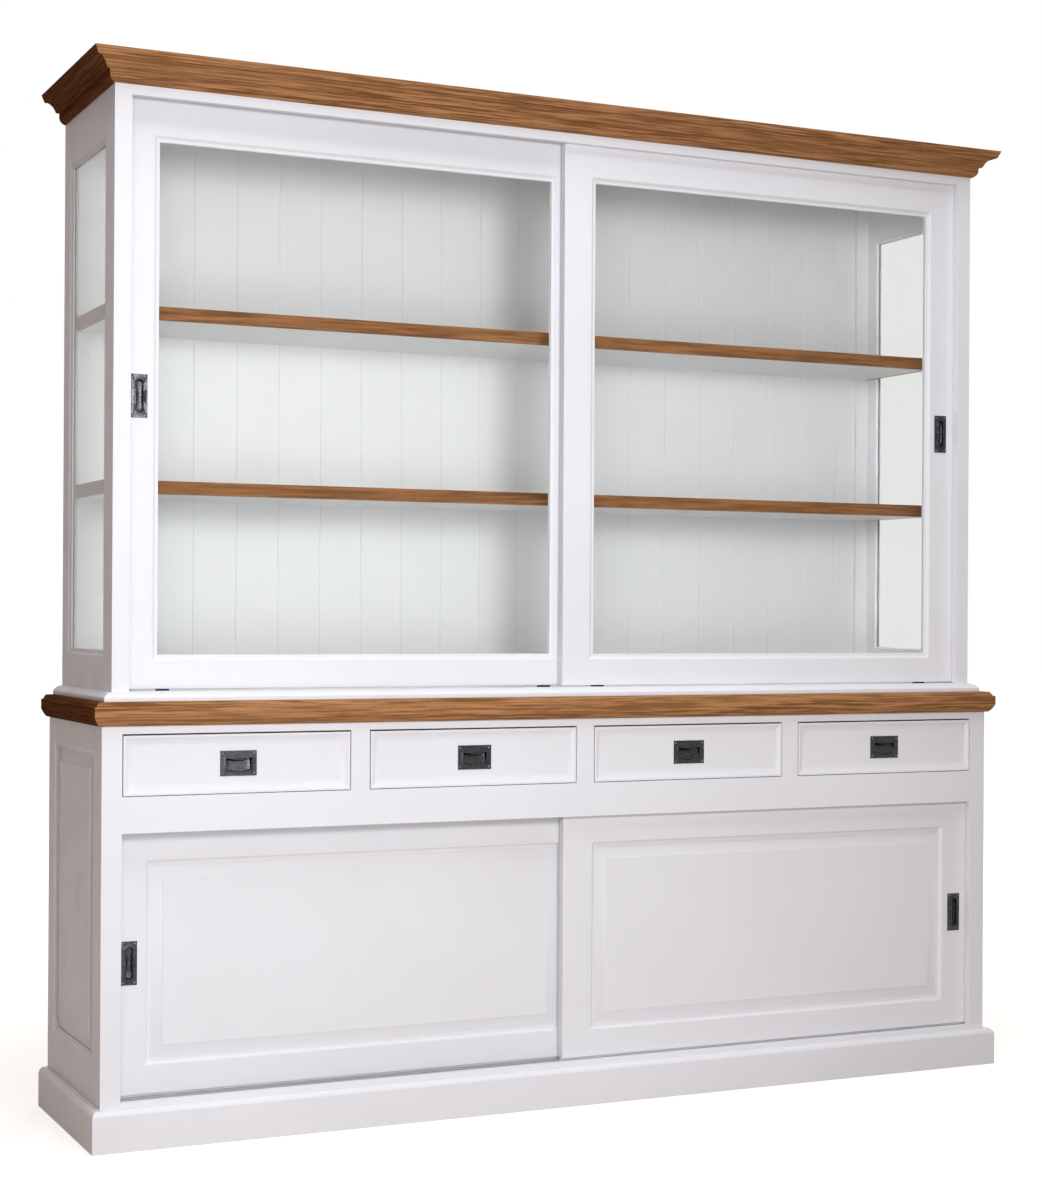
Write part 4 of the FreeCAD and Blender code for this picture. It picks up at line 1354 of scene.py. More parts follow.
@dataclass
class Hutch:
    """The upper case: frame, glazed ends, floor, top, back boards, shelves and rails."""

    case: Case
    opening: Field = Field(-1016.0, 1016.0, 916.0, 2120.0)
    frame_thickness: float = 16.0
    end_thickness: float = 18.0
    board_pitch: float = 100.2
    first_board: float = 71.0
    bevel: float = 1.2

    def base_molding(self) -> Piece:
        """The low board with a rounded top that covers the joint with the counter.

        Returns:
            The board.
        """
        foot, reach = self.case.counter_top, 20.0
        outline: Outline = [(0.0, foot), (reach, foot), (reach, foot + 8.5)]
        outline += arc(outline[-1], (0.0, foot + 20.0), -2.5, 7)
        blank = Blank()
        blank.molding(outline, self.case.hutch_half, self.case.hutch_front, self.case.back, 0)
        return blank.piece("hutch_foot_molding", "cabinet", 0.6, "hutch_base_molding")

    def face_frame(self) -> Piece:
        """Stiles and rails round the doors.

        Returns:
            The frame.
        """
        half, front = self.case.hutch_half, self.case.hutch_front
        outer, back = Field(-half, half, self.case.counter_top, self.case.hutch_head), front - self.frame_thickness
        rings = [(outer, back), (outer, front), (self.opening, front), (self.opening, back)]
        blank = Blank()
        blank.fields(Facing.FRONT, rings, closed=True)
        return blank.piece("hutch_frame_boards", "cabinet", 0.6, "hutch_face_frame")

    def ends(self) -> list[Piece]:
        """The glazed ends: frame and beads.

        Returns:
            A frame and its beads for each end.
        """
        pieces = []
        for facing in (Facing.LEFT, Facing.RIGHT):
            end = FramedEnd(
                "hutch",
                facing,
                half=self.case.hutch_half,
                up=(self.case.counter_top, self.case.hutch_head),
                front=self.case.hutch_front - self.frame_thickness,
                thickness=self.end_thickness,
                stiles=(54.0, 50.0),
                rails=(90.0, 119.0),
                molding_depth=6.0,
            )
            pieces.append(end.frame(seat=8.0, seat_depth=8.0))
            sight, out = end.flat().grown(-end.molding_width), end.half
            name = f"hutch_{facing.value}_side_beads"
            pieces.append(glazing_beads(name, "cabinet", facing, sight, front=out - 12.0, rear=out - end.thickness))
        return pieces

    def back_boards(self) -> list[Piece]:
        """Upright boards with bevelled joints: a narrow first one, then full ones, and a last.

        Returns:
            The boards in three pieces.
        """
        foot, head, front, rear = 910.0, 2146.0, 228.0, 238.0
        half = self.case.hutch_half - self.end_thickness

        def board(width: float, first: bool, last: bool) -> Blank:
            """One board from its left edge at zero.

            Args:
                width: Its width in millimetres.
                first: Whether its left edge is square.
                last: Whether its right edge is square.

            Returns:
                The board.
            """
            left, right = (0.0 if first else self.bevel), (0.0 if last else self.bevel)
            plan = [(0.0, rear), (0.0, front + left), (left, front), (width - right, front), (width, front + right)]
            plan.append((width, rear))
            plan = [point for at, point in enumerate(plan) if point != plan[at - 1]]
            blank = Blank()
            blank.loft([[Vector((x, y, z)) * MM for x, y in plan] for z in (foot, head)], capped=True)
            return blank

        full = int((2 * half - self.first_board) // self.board_pitch)
        last_width = 2 * half - self.first_board - full * self.board_pitch
        tree = row_tree()
        runs = (
            ("first", self.first_board, 1, -half),
            ("full", self.board_pitch, full, -half + self.first_board),
            ("last", last_width, 1, half - last_width),
        )
        pieces = []
        for title, width, count, left in runs:
            part = part_object(board(width, title == "first", title == "last"), f"{title}_back_board")
            values = {"Part": part, "Count": count, "Pitch": (self.board_pitch * MM, 0.0, 0.0)}
            # The back boards take the inside's greyer lacquer: painted shade.
            piece = tree.run(f"back_boards_{title}", [Vector((left * MM, 0.0, 0.0))], Finish.INSIDE_SHADED, **values)
            ease(piece, 0.4)
            nodes = ("hutch_back_boards",) if title == "full" else ()
            pieces.append(finish_piece(piece, "cabinet", Finish.INSIDE_SHADED, *nodes))
        return pieces

    def boards(self) -> list[Piece]:
        """The plain boards, shelves, lippings and rails.

        Returns:
            The boards, the lippings and the rails.
        """
        pieces = []
        for node in ("hutch_floor", "hutch_top", "hutch_back_posts", "hutch_shelves"):
            mesh = merged_mesh(node)
            # The top's downward faces take the dark warm lacquer: painted shade under the hutch's top.
            for polygon in mesh.polygons:
                if node == "hutch_top" and polygon.normal.z < -0.5:
                    polygon.material_index = 1
            finishes = [Finish.INSIDE_SHADED, Finish.CEILING_SHADE]
            pieces.append(eased_piece(mesh, f"{node}_boards", "cabinet", 0.8, finishes, node))
        pieces.append(plain_copy("shelf_lippings", "oak_lippings", "cabinet", 0.9, Finish.OAK_EDGE))
        pieces.append(plain_copy("hutch_roller_rails", "roller_rail_strips", "cabinet", 0.5, Finish.RAIL))
        return pieces

    def build(self) -> list[Piece]:
        """All the pieces of the upper case."""
        return [self.base_molding(), self.face_frame(), *self.ends(), *self.back_boards(), *self.boards()]


def glazing_beads(name: str, body: str, facing: Facing, sight: Field, front: float, rear: float) -> Piece:
    """Beads that hold a pane from behind, with a sloped inner edge.

    Args:
        name: The piece's name.
        body: The body that carries it.
        facing: The way the frame looks.
        sight: The opening that shows the pane.
        front: How far out the beads' front lies.
        rear: How far out their back lies.

    Returns:
        The beads.
    """
    seat, foot, lip = sight.grown(7.8), sight.grown(4.0), 1.5
    rings = [(seat, rear), (seat, front), (sight, front), (sight, front - lip), (foot, rear)]
    blank = Blank()
    blank.fields(facing, rings, closed=True)
    return blank.piece(name, body, 0.4)


@dataclass
class Cornice:
    """The oak cornice: a slanting crown over a cove, a step and a rounded foot."""

    case: Case

    def build(self) -> list[Piece]:
        """The cornice, mitred at the front corners.

        Returns:
            The cornice, in a list of one.
        """
        foot, joint, crown, top = 2140.0, self.case.hutch_head, 2184.0, self.case.height
        outline: Outline = [(0.0, foot), (2.5, foot)]
        outline += arc(outline[-1], (14.0, 2153.5), -2.5, 7)
        outline += [(14.0, joint), (21.5, joint)]
        outline += arc(outline[-1], (38.5, crown), 3.0, 8)
        outline += [(46.0, crown), (53.0, top), (0.0, top)]
        blank = Blank()
        blank.molding(outline, self.case.hutch_half, self.case.hutch_front, self.case.back)
        return [blank.piece("oak_cornice", "cabinet", 0.45, "cornice", finishes=OAK_RUNS)]


def pull_pocket(piece: Piece, place: Pair, face: float, half: Pair) -> None:
    """Cut the pocket that a recessed pull sits in.

    Args:
        piece: The piece, whose mesh changes.
        place: The pull's middle, across and up.
        face: How far out the face lies.
        half: Half the pocket's width and height.
    """
    (u, v), (across, up), ahead, deep = place, half, 2.0, 11.5
    cut(piece, (u - across, -face - ahead, v - up), (u + across, -face + deep, v + up))


@dataclass
class SlidingDoor:
    """What the four doors share: a framed leaf with a recessed pull."""

    case: str
    side: str
    across: Pair
    out: float
    up: Pair
    stile: float
    inner_stile: float
    rails: Pair
    pull_height: float
    thickness: float = 20.0
    molding_width: float = 12.0
    molding_depth: float = 8.0
    tongue: Pair = (10.0, 11.7)

    def name(self) -> str:
        """The door's body."""
        return f"{self.case}_{self.side}_door"

    def flat(self) -> Field:
        """The edge of the frame's flat face."""
        stiles = (self.stile, self.inner_stile) if self.side == "left" else (self.inner_stile, self.stile)
        return Field(*self.across, *self.up).inside(*stiles, *self.rails)

    def pull_place(self) -> Pair:
        """The middle of the pull, on the outer stile and its molding.

        Returns:
            Its place across and up.
        """
        reach = (self.stile + self.molding_width) / 2
        low, high = self.across
        return (low + reach if self.side == "left" else high - reach, self.pull_height)

    def leaf(self, seat: float, seat_depth: float) -> Piece:
        """The frame with its molding and its pull's pocket, not yet eased.

        Args:
            seat: How far the rabbet or groove runs behind the molding.
            seat_depth: How deep behind the face it starts.

        Returns:
            The frame.
        """
        edge, molding = Field(*self.across, *self.up), (self.molding_width, self.molding_depth)
        rings = frame_rings(edge, self.flat(), self.out, self.thickness, molding, (seat, seat_depth))
        blank = Blank()
        blank.fields(Facing.FRONT, rings, closed=True)
        piece = show(blank.mesh(self.name()), f"{self.name()}_leaf", [Finish.LACQUER])
        pull_pocket(piece, self.pull_place(), self.out, half=(10.0, 34.5))
        return piece

    def tongues(self, *spans: Pair) -> Piece:
        """The thin edges that run in the tracks.

        Args:
            spans: The lowest and highest point of each.

        Returns:
            The tongues.
        """
        middle, half = self.out - self.thickness / 2, 4.0
        blank = Blank()
        for low, high in spans:
            blank.block((self.across[0], -middle - half, low), (self.across[1], -middle + half, high))
        return blank.piece(f"{self.name()}_tongues", self.name(), 0.5)


@dataclass
class GlazedDoor(SlidingDoor):
    """A hutch door: a leaf with beads round its pane, two rollers and their housings."""

    up: Pair = (919.5, 2128.0)
    stile: float = 72.0
    inner_stile: float = 67.0
    rails: Pair = (57.5, 76.0)
    pull_height: float = 1517.35
    roller_inset: float = 12.0
    roller_half: Pair = (12.5, 5.5)
    roller_up: Pair = (910.0, 938.0)

    def build(self) -> list[Piece]:
        """All the pieces of the door.

        Returns:
            The pieces, the leaf first.
        """
        body = self.name()
        leaf = self.leaf(seat=8.0, seat_depth=10.0)
        sight = self.flat().grown(-self.molding_width)
        middle, (half, deep), (foot, head) = self.out - self.thickness / 2, self.roller_half, self.roller_up
        for along in (sight.left + self.roller_inset, sight.right - self.roller_inset):
            cut(leaf, (along - half, -middle - deep, foot), (along + half, -middle + deep, head))
        ease(leaf, 0.7)
        pieces = [finish_piece(leaf, body, Finish.LACQUER, f"{body}_frame")]
        pieces.append(self.tongues((self.up[1], self.up[1] + self.tongue[0])))
        front, rear = self.out - 14.0, self.out - self.thickness
        pieces.append(glazing_beads(f"{body}_beads", body, Facing.FRONT, sight, front, rear))
        pieces.append(plain_copy(f"{body}_housings", f"{body}_roller_housings", body, 0.3, Finish.HOUSING))
        for end in ("outer", "inner"):
            name = f"{body}_{end}"
            pieces.append(plain_copy(f"{name}_roller", f"{name}_wheel_turned", f"{name}_wheel", 0.35, Finish.NYLON))
        return pieces + DoorPull(body, self.pull_place(), self.out).build()


@dataclass
class PanelDoor(SlidingDoor):
    """A base door: a leaf with a raised panel."""

    up: Pair = (99.0, 640.0)
    stile: float = 79.5
    inner_stile: float = 70.0
    rails: Pair = (58.0, 67.0)
    pull_height: float = 365.93

    def build(self) -> list[Piece]:
        """All the pieces of the door.

        Returns:
            The pieces, the leaf first.
        """
        body = self.name()
        leaf = self.leaf(seat=9.3, seat_depth=8.3)
        ease(leaf, 0.7)
        pieces = [finish_piece(leaf, body, Finish.LACQUER, f"{body}_frame")]
        foot, head = self.up
        pieces.append(self.tongues((head, head + self.tongue[0]), (foot - self.tongue[1], foot)))
        sight = self.flat().grown(-self.molding_width)
        blank = Blank()
        rings = raised_rings(sight, self.out, back=self.out - 15.0, edge=9.0, crest=4.0, field=2.5)
        blank.fields(Facing.FRONT, rings, capped=True)
        pieces.append(blank.piece(f"{body}_raised_panel", body, 0.5, f"{body}_panel"))
        return pieces + DoorPull(body, self.pull_place(), self.out).build()


@dataclass
class Drawer:
    """A drawer: a front with a sloped border, a joined box and a recessed pull."""

    number: int
    first_left: float = -1035.0
    pitch: float = 529.0
    width: float = 483.0
    up: Pair = (707.3, 828.4)
    out: float = 218.0
    thickness: float = 22.0
    rim: float = 5.0
    slope: float = 16.0
    slope_depth: float = 7.0

    def build(self) -> list[Piece]:
        """All the pieces of the drawer.

        Returns:
            The pieces, the front first.
        """
        body = f"drawer_{self.number}"
        left = self.first_left + self.pitch * (self.number - 1)
        edge = Field(left, left + self.width, *self.up)
        rim, step = edge.grown(-self.rim), 0.9
        rings: list[Ring] = [(edge, self.out - self.thickness), (edge, self.out), (rim, self.out)]
        rings.append((rim, self.out - step))
        for inset, deep in arc((self.rim, step), (self.rim + self.slope, self.slope_depth), 0.8, 7):
            rings.append((edge.grown(-inset), self.out - deep))
        blank = Blank()
        blank.fields(Facing.FRONT, rings, capped=True)
        front = show(blank.mesh(body), f"{body}_front_board", [Finish.LACQUER])
        place = (left + self.width / 2, sum(self.up) / 2)
        face = self.out - self.slope_depth
        pull_pocket(front, place, face, half=(28.5, 19.0))
        ease(front, 0.7)
        pieces = [finish_piece(front, body, Finish.LACQUER, f"{body}_front")]
        box = (f"{body}_box", f"{body}_joined_box", body, 0.6)
        pieces.append(plain_copy(*box, *DRAWER_WOODS, pick=longest))
        return pieces + DrawerPull(body, place, face).build()


# Recessed pulls

# Turns a part that looks up so that it looks to the front.
FRONT_TURN = (math.radians(90), 0.0, 0.0)
# Shares of the roll's width and of the lip's height, from the plate in towards the mouth.
LIP_STEPS = ((1.0, 0.0), (0.72, 0.28), (0.47, 0.66), (0.25, 0.92))
# Shares of the pan's width and of its depth, from its rim to its middle.
PAN_STEPS = ((0.99, 0.30), (0.975, 0.72), (0.94, 0.93), (0.86, 1.0), (0.60, 1.0), (0.45, 1.0), (0.30, 1.0), (0.12, 1.0))


def radius_towards(outline: Outline, angle: float) -> float:
    """How far an outline lies from zero in one direction.

    Args:
        outline: A closed outline that goes once round zero.
        angle: The direction in radians.

    Returns:
        The distance.
    """
    dx, dy = math.cos(angle), math.sin(angle)
    best = 0.0
    for (ax, ay), (bx, by) in zip(outline, outline[1:] + outline[:1]):
        ex, ey = bx - ax, by - ay
        det = dx * ey - dy * ex
        if abs(det) < 1e-12:
            continue
        reach = (ax * ey - ay * ex) / det
        share = (ax * dy - ay * dx) / det
        if reach > 0 and -1e-9 <= share <= 1 + 1e-9:
            best = max(best, reach)
    return best


def through(start: Pair, middle: Pair, end: Pair, steps: int) -> Outline:
    """Points of a smooth curve that passes a middle point, without its start.

    Args:
        start: The first point, which isn't in the result.
        middle: The point half way.
        end: The last point, which is in the result.
        steps: The number of points.

    Returns:
        The points.
    """
    points = []
    for step in range(1, steps + 1):
        t = step / steps
        shares = ((1 - t) * (1 - 2 * t), 4 * t * (1 - t), t * (2 * t - 1))
        points.append(tuple(sum(s * p[axis] for s, p in zip(shares, (start, middle, end))) for axis in (0, 1)))
    return points


@dataclass
class RecessedPull:
    """A plate with a mouth, a raised lip and a pan behind it, and four screws."""

    body: str
    place: Pair
    face: float
    width: float = 34.0
    height: float = 89.0
    inset: float = 5.0
    plate: float = 1.5
    plate_edge: float = 0.5
    roll: float = 3.6
    mouth_margin: float = 0.5
    hollow_margin: float = 0.8

    def mouth(self) -> Outline:
        """The mouth's edge."""
        raise NotImplementedError

    def hollow(self) -> Outline:
        """The pan's inner edge behind the plate."""
        raise NotImplementedError

    def lip(self, u: float, v: float) -> float:
        """How far the mouth's edge stands proud at a point."""
        raise NotImplementedError

    def floor(self, u: float, v: float) -> float:
        """How deep the pan is at a point."""
        raise NotImplementedError

    def angles(self) -> list[float]:
        """Directions that catch the plate's corners and the mouth's curves.

        Returns:
            The directions in radians, in order.
        """
        w, h = self.width / 2, self.height / 2

        def turn(point: Pair) -> float:
            """The direction of a point, in radians."""
            return round(math.atan2(point[1], point[0]) % math.tau, 4)

        corners = {turn(point) for point in ((w, h), (-w, h), (-w, -h), (w, -h))}
        ordered = sorted(corners | {turn(point) for point in self.mouth()})
        kept = [ordered[0]]
        for angle in ordered[1:]:
            if angle - kept[-1] > 0.02:
                kept.append(angle)
            elif angle in corners:
                kept[-1] = angle
        return kept

    def build(self) -> list[Piece]:
        """The pull and its screws.

        Returns:
            The two pieces.
        """
        angles = self.angles()
        w, h = self.width / 2, self.height / 2

        def loop(outline: Outline, out: Rise, scale: float = 1.0, grow: float = 0.0) -> list[Vector]:
            """An outline as a ring of points at its own heights out of the face.

            Args:
                outline: The outline.
                out: Gives the height at a point.
                scale: The ring's share of the outline's size.
                grow: How far the ring is then moved out.

            Returns:
                The ring.
            """
            ring = []
            for angle in angles:
                reach = radius_towards(outline, angle) * scale + grow
                u, v = reach * math.cos(angle), reach * math.sin(angle)
                ring.append(Facing.FRONT.place(self.place[0] + u, self.place[1] + v, self.face + out(u, v)))
            return ring

        def rect(inset: float) -> Outline:
            """The plate's edge, moved in."""
            return [(-w + inset, -h + inset), (w - inset, -h + inset), (w - inset, h - inset), (-w + inset, h - inset)]

        mouth, hollow, top, edge = self.mouth(), self.hollow(), self.plate, self.plate_edge
        rings = [loop(rect(0.0), lambda u, v: 0.0), loop(rect(0.0), lambda u, v: top - edge)]
        rings.append(loop(rect(edge), lambda u, v: top))
        for grow, share in [*((wide * self.roll, high) for wide, high in LIP_STEPS), (0.3, 1.0)]:
            rings.append(loop(mouth, lambda u, v, s=share: top + s * self.lip(u, v), grow=grow))
        rings.append(loop(mouth, lambda u, v: top + 0.78 * self.lip(u, v) - 0.15))
        rings.append(loop(mouth, lambda u, v: top * 0.2 + 0.3 * self.lip(u, v) - 0.4, grow=-0.1))
        rings.append(loop(mouth, lambda u, v: -0.2, grow=0.25))
        for scale, share in PAN_STEPS:
            rings.append(loop(hollow, lambda u, v, s=share: -0.3 - s * (self.floor(u, v) - 0.3), scale=scale))
        blank = Blank()
        blank.loft(rings)
        count = len(angles)
        last = blank.points[-count:]
        centre = sum(last, Vector()) / count
        blank.add(last + [centre], [(at, (at + 1) % count, count) for at in range(count)])
        piece = show(blank.mesh("pull"), f"{self.body}_recessed_pull", [Finish.PULL])
        piece.data.set_sharp_from_angle(angle=math.radians(28))
        finish_piece(piece, self.body, Finish.PULL, f"{self.body}_pull")
        spots = []
        for across in (-1, 1):
            for up in (-1, 1):
                u = self.place[0] + across * (w - self.inset)
                v = self.place[1] + up * (h - self.inset)
                spots.append(Facing.FRONT.place(u, v, self.face + top))
        values = {"Head": screw_head(), "Facing": FRONT_TURN, "Seed": 3 + sum(map(ord, self.body))}
        screws = TREES["fasteners"].run(f"{self.body}_pull_screws", spots, Finish.SCREW, **values)
        return [piece, finish_piece(screws, self.body, Finish.SCREW)]


@dataclass
class DoorPull(RecessedPull):
    """An upright oblong recess with a waisted lip over its right side."""

    recess: Pair = (19.0, 68.0)
    lip_width: float = 0.6
    waist: float = 1.0
    roll: float = 2.0
    bead: float = 0.35
    side_rise: float = 0.5
    depth: float = 6.8
    dent: float = 1.2

    def oblong(self, margin: float, lip: float, waist: float) -> Outline:
        """An oblong with round ends, its right side drawn in.

        Args:
            margin: How far it lies inside the recess.
            lip: How much less far it reaches on the right.
            waist: How far the right side is drawn in.

        Returns:
            The outline, anticlockwise.
        """
        left, right = -self.recess[0] / 2 + margin, self.recess[0] / 2 - margin - lip
        half, middle = (right - left) / 2, (left + right) / 2
        straight = self.recess[1] / 2 - margin - half

        def half_round(level: float, start: float) -> Outline:
            """A half circle about the oblong's middle line."""
            angles = [start + math.pi * step / 12 for step in range(13)]
            return [(middle + half * math.cos(angle), level + half * math.sin(angle)) for angle in angles]

        points = half_round(-straight, math.pi)
        points += through((right, -straight), (right - waist, 0.0), (right, straight), 16)[:-1]
        points += half_round(straight, 0.0)
        points += [(left, straight * (1 - step / 8)) for step in range(1, 16)]
        return points

    def mouth(self) -> Outline:
        """The mouth's edge."""
        return self.oblong(self.mouth_margin, self.lip_width, self.waist)

    def hollow(self) -> Outline:
        """The pan's inner edge behind the plate."""
        return self.oblong(self.hollow_margin, 0.0, 0.0)

    def lip(self, u: float, v: float) -> float:
        """A low bead all round, a little higher on the waisted side."""
        return self.bead + (self.side_rise if u > 0 else 0.0) * max(0.0, 1 - (v / 30.0) ** 2)

    def floor(self, u: float, v: float) -> float:
        """A dished floor with a shallow upright dent in its middle."""
        share = math.exp(-((u + 1.0) / 1.8) ** 2) * max(0.0, 1 - (v / 26.0) ** 4)
        return self.depth + self.dent * share


@dataclass
class DrawerPull(RecessedPull):
    """A wide recess under a bowed hood, with a bellied lower edge."""

    width: float = 78.0
    height: float = 52.0
    inset: float = 5.5
    recess: Pair = (56.0, 37.0)
    hood: float = 7.0
    bow: float = 4.0
    belly: float = 5.0
    bead: float = 0.4
    hood_rise: float = 2.8
    foot_depth: float = 3.2
    head_depth: float = 5.6

    def scoop(self, margin: float, hood: float, bow: float) -> Outline:
        """The recess, its head bowed down and its foot bellied.

        Args:
            margin: How far it lies inside the recess.
            hood: How far the hood comes down over it.
            bow: How far the middle of its head hangs down.

        Returns:
            The outline, anticlockwise.
        """
        half = self.recess[0] / 2 - margin
        head, foot = self.recess[1] / 2 - margin - hood, -self.recess[1] / 2 + margin + self.belly
        points: Outline = [(-half, foot)]
        points += through((-half, foot), (0.0, foot - self.belly), (half, foot), 22)
        points += [(half, foot + (head - foot) * step / 6) for step in range(1, 7)]
        points += through((half, head), (0.0, head - bow), (-half, head), 22)
        points += [(-half, head + (foot - head) * step / 6) for step in range(1, 6)]
        return points

    def mouth(self) -> Outline:
        """The mouth's edge."""
        return self.scoop(self.mouth_margin, self.hood, self.bow)

    def hollow(self) -> Outline:
        """The pan's inner edge behind the plate."""
        return self.scoop(self.hollow_margin, 0.0, 0.0)

    def lip(self, u: float, v: float) -> float:
        """The hood stands proud over the mouth and dies away at its ends."""
        rise = max(0.0, min(1.0, (v - 1.0) / 6.0))
        return self.bead + self.hood_rise * rise * max(0.0, 1 - (u / 30.0) ** 2)

    def floor(self, u: float, v: float) -> float:
        """Deep under the hood, by head_depth more than at the foot."""
        share = max(0.0, min(1.0, (v + 17.0) / 34.0))
        return self.foot_depth + self.head_depth * share * share * (3 - 2 * share)


def screw_head() -> Piece:
    """A slotted dome-headed screw for the trees to repeat, made once.

    Returns:
        The part.
    """
    if "screw_head" in bpy.data.objects:
        return bpy.data.objects["screw_head"]
    radius, rise, slot, spare = 2.4, 0.8, 0.35, 1
    turns = [math.tau * step / 20 for step in range(20)]
    loops = []
    for share, level in ((1.0, 0.0), (1.0, 0.25), (0.86, 0.55), (0.60, 0.74), (0.30, 0.8)):
        wide, high = radius * share, rise * level / 0.8
        loops.append([Vector((wide * math.cos(turn), wide * math.sin(turn), high)) * MM for turn in turns])
    blank = Blank()
    blank.loft(loops, capped=True)
    head = part_object(blank, "screw_head")
    cut(head, (-radius - spare, -slot, rise * 0.45), (radius + spare, slot, rise + spare))
    return head


# Lamps, floor and camera


COOL = (0.88, 0.92, 1.0)
WHITE = (1.0, 1.0, 1.0, 1.0)


@dataclass(frozen=True)
class Lamp:
    """A soft rectangular lamp: its place, the point it faces and its size in metres, its power in watts."""

    name: str
    place: Triple
    target: Triple
    size: Pair
    power: float
    colour: Colour

    def hang(self) -> None:
        """Put the lamp in the scene, unseen by the camera."""
        data = bpy.data.lights.new(self.name, "AREA")
        data.shape, data.size, data.size_y = "RECTANGLE", *self.size
        data.energy, data.color = self.power, self.colour
        lamp = link(self.name, data)
        lamp.location = self.place
        lamp.visible_camera = False
        lamp.rotation_euler = (Vector(self.target) - Vector(self.place)).to_track_quat("-Z", "Y").to_euler()


LAMPS = (
    Lamp("key", (-0.44, -3.25, 1.84), (-0.44, 0.0, 1.84), (0.60, 0.6), 39.0, COOL),
    Lamp("tall", (-1.55, -2.9, 1.15), (-1.2, 0.0, 1.1), (0.9, 2.2), 26.0, COOL),
    Lamp("left", (-2.02, -2.45, 1.9), (-0.6, -0.15, 1.5), (0.5, 0.6), 4.5, (1.0, 0.92, 0.86)),
    Lamp("low", (-0.6, -2.9, 0.6), (-0.5, 0.0, 0.5), (1.6, 0.6), 12.0, (0.84, 0.92, 1.0)),
    Lamp("top", (-0.3, -1.15, 4.2), (-0.3, -0.65, 0.0), (4.0, 2.4), 105.0, (0.82, 0.92, 1.0)),
    Lamp("rear", (2.6, 4.2, 2.6), (0.3, 0.0, 1.0), (2.0, 1.6), 90.0, (1.0, 0.98, 0.96)),
)


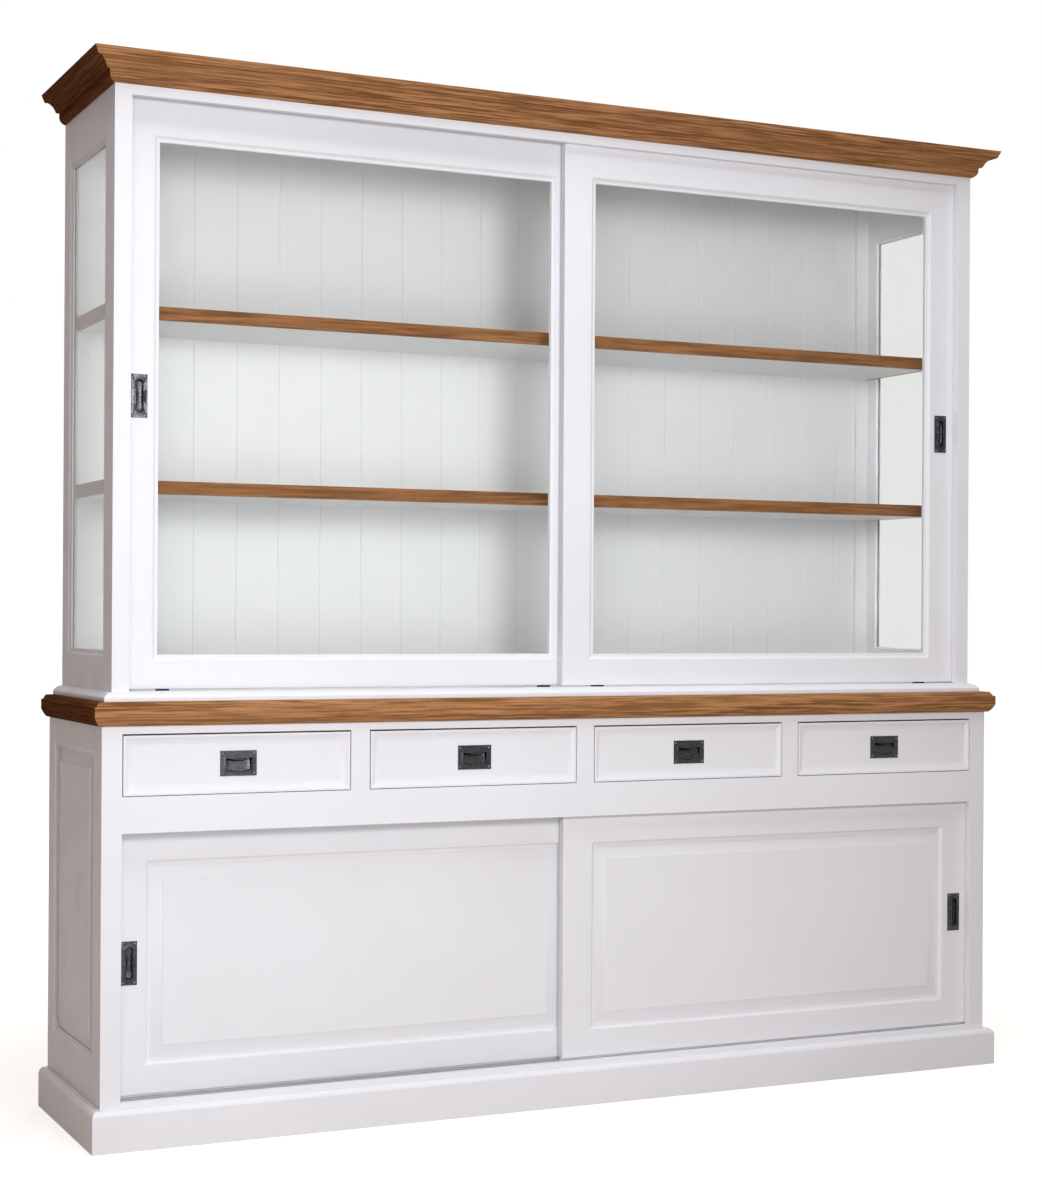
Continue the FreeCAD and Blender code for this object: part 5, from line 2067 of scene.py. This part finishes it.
@dataclass
class Studio:
    """A pale floor, soft lamps and the camera that took the picture."""

    place: Triple = (-2.14699, -4.45125, 1.07472)
    turn: float = 0.43978
    tilt: float = 0.00074
    roll: float = -0.00576
    focal: float = 2153.69
    centre: Pair = (522.67, 613.40)
    picture: Pair = (1042.0, 1200.0)
    floor_half: float = 30.0
    floor_colour: Colour = (0.50, 0.445, 0.405)
    world_colour: Colour = (1.0, 0.49, 0.30)
    world_strength: float = 0.150

    def camera(self) -> None:
        """Set the camera as calibrated from the cabinet's straight edges."""
        ahead = Vector(
            (math.sin(self.turn) * math.cos(self.tilt), math.cos(self.turn) * math.cos(self.tilt), math.sin(self.tilt))
        )
        right = Vector((math.cos(self.turn), -math.sin(self.turn), 0.0))
        down = ahead.cross(right)
        c, s = math.cos(self.roll), math.sin(self.roll)
        across, below = right * c + down * s, down * c - right * s
        data = bpy.data.cameras.new("picture_camera")
        sensor = 36.0
        data.sensor_fit, data.sensor_height = "VERTICAL", sensor
        wide, high = self.picture
        data.lens = sensor * self.focal / high
        data.shift_x = -(self.centre[0] - wide / 2) / high
        data.shift_y = (self.centre[1] - high / 2) / high
        data.clip_end = 200.0
        camera = link("picture_camera", data)
        columns = (across, -below, -ahead)
        camera.matrix_world = Matrix(
            [[*(column[row] for column in columns), self.place[row]] for row in range(3)] + [[0, 0, 0, 1]]
        )
        bpy.context.scene.camera = camera

    @staticmethod
    def seen(w: Wiring) -> Socket:
        """Whether a ray comes straight, by gloss or through glass from the camera, and not off a matt surface.

        Args:
            w: The wiring of the floor or the world.

        Returns:
            One for such a ray and zero for another.
        """
        path = w.node("ShaderNodeLightPath").outputs
        bright = w.math("MAXIMUM", path["Is Camera Ray"], path["Is Glossy Ray"])
        bright = w.math("MAXIMUM", bright, path["Is Transmission Ray"])
        return w.math("MULTIPLY", bright, w.math("LESS_THAN", path["Diffuse Depth"], 0.5))

    def floor(self) -> None:
        """Lay the floor, which shows white away from the cabinet and keeps its shadow near it."""
        mesh = bpy.data.meshes.new("studio_floor")
        half = self.floor_half
        mesh.from_pydata([(-half, -half, 0), (half, -half, 0), (half, half, 0), (-half, half, 0)], [], [(0, 1, 2, 3)])
        material = bpy.data.materials.new("studio_floor")
        material.use_nodes = True
        material.node_tree.nodes.clear()
        w = Wiring(material.node_tree)
        place = w.node("ShaderNodeTexCoord").outputs["Object"]
        matt = w.node("ShaderNodeBsdfDiffuse", {"Color": (*self.floor_colour, 1.0)}).outputs[0]
        away = w.vector("LENGTH", {0: w.stretch(place, (0.42, 0.55, 1.0))})
        fade = w.span(away, 0.45, 1.30, 0.74, 1.0)
        glow = w.math("MULTIPLY", self.seen(w), fade)
        white = w.node("ShaderNodeEmission", {"Color": WHITE, "Strength": glow}).outputs[0]
        both = w.node("ShaderNodeAddShader", {0: matt, 1: white}).outputs[0]
        w.node("ShaderNodeOutputMaterial", {"Surface": both})
        mesh.materials.append(material)
        floor = link("studio_floor", mesh)

    def world(self) -> None:
        """Fill the room with a dim warm light that shows white behind the cabinet."""
        world = bpy.data.worlds.new("studio")
        bpy.context.scene.world = world
        world.use_nodes = True
        world.node_tree.nodes.clear()
        w = Wiring(world.node_tree)
        dim = {"Color": (*self.world_colour, 1.0), "Strength": self.world_strength}
        fill = w.node("ShaderNodeBackground", dim).outputs[0]
        white = w.node("ShaderNodeBackground", {"Color": WHITE, "Strength": 1.0}).outputs[0]
        mixed = w.node("ShaderNodeMixShader", {0: self.seen(w), 1: fill, 2: white}).outputs[0]
        w.node("ShaderNodeOutputWorld", {"Surface": mixed})

    def build(self) -> None:
        """Set up the camera, floor, world and lamps."""
        self.camera()
        self.floor()
        self.world()
        for lamp in LAMPS:
            lamp.hang()
        bpy.context.scene.view_settings.view_transform = "Standard"


TREES: dict[str, Repeat] = {}


def main() -> None:
    """Build the cabinet in order and report each piece."""
    logging.basicConfig(level=logging.INFO, format="%(message)s")
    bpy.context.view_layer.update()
    Studio().build()
    TREES["fasteners"] = fastener_tree()
    case = Case()
    pieces: list[Piece] = []
    for part in (BaseCase(case), Countertop(case), Hutch(case), Cornice(case)):
        pieces += part.build()
    doors = (
        GlazedDoor("hutch", "left", (-1029.0, 27.0), 143.0),
        GlazedDoor("hutch", "right", (-34.0, 1022.0), 169.0),
        PanelDoor("base", "left", (-1056.0, 37.5), 174.0),
        PanelDoor("base", "right", (-44.5, 1049.0), 200.0),
    )
    for door in doors:
        pieces += door.build()
    for number in range(1, DRAWERS + 1):
        pieces += Drawer(number).build()
    for name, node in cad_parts.items():
        if name.endswith("_glass"):
            node.data.materials.clear()
            node.data.materials.append(Finish.PANE.material())
            LOG.info("%s: kept, with the pane's finish", name)
    for part in PARTS:
        bpy.data.objects.remove(part)
    LOG.info("%d pieces", len(pieces))


if __name__ == "__main__":
    main()
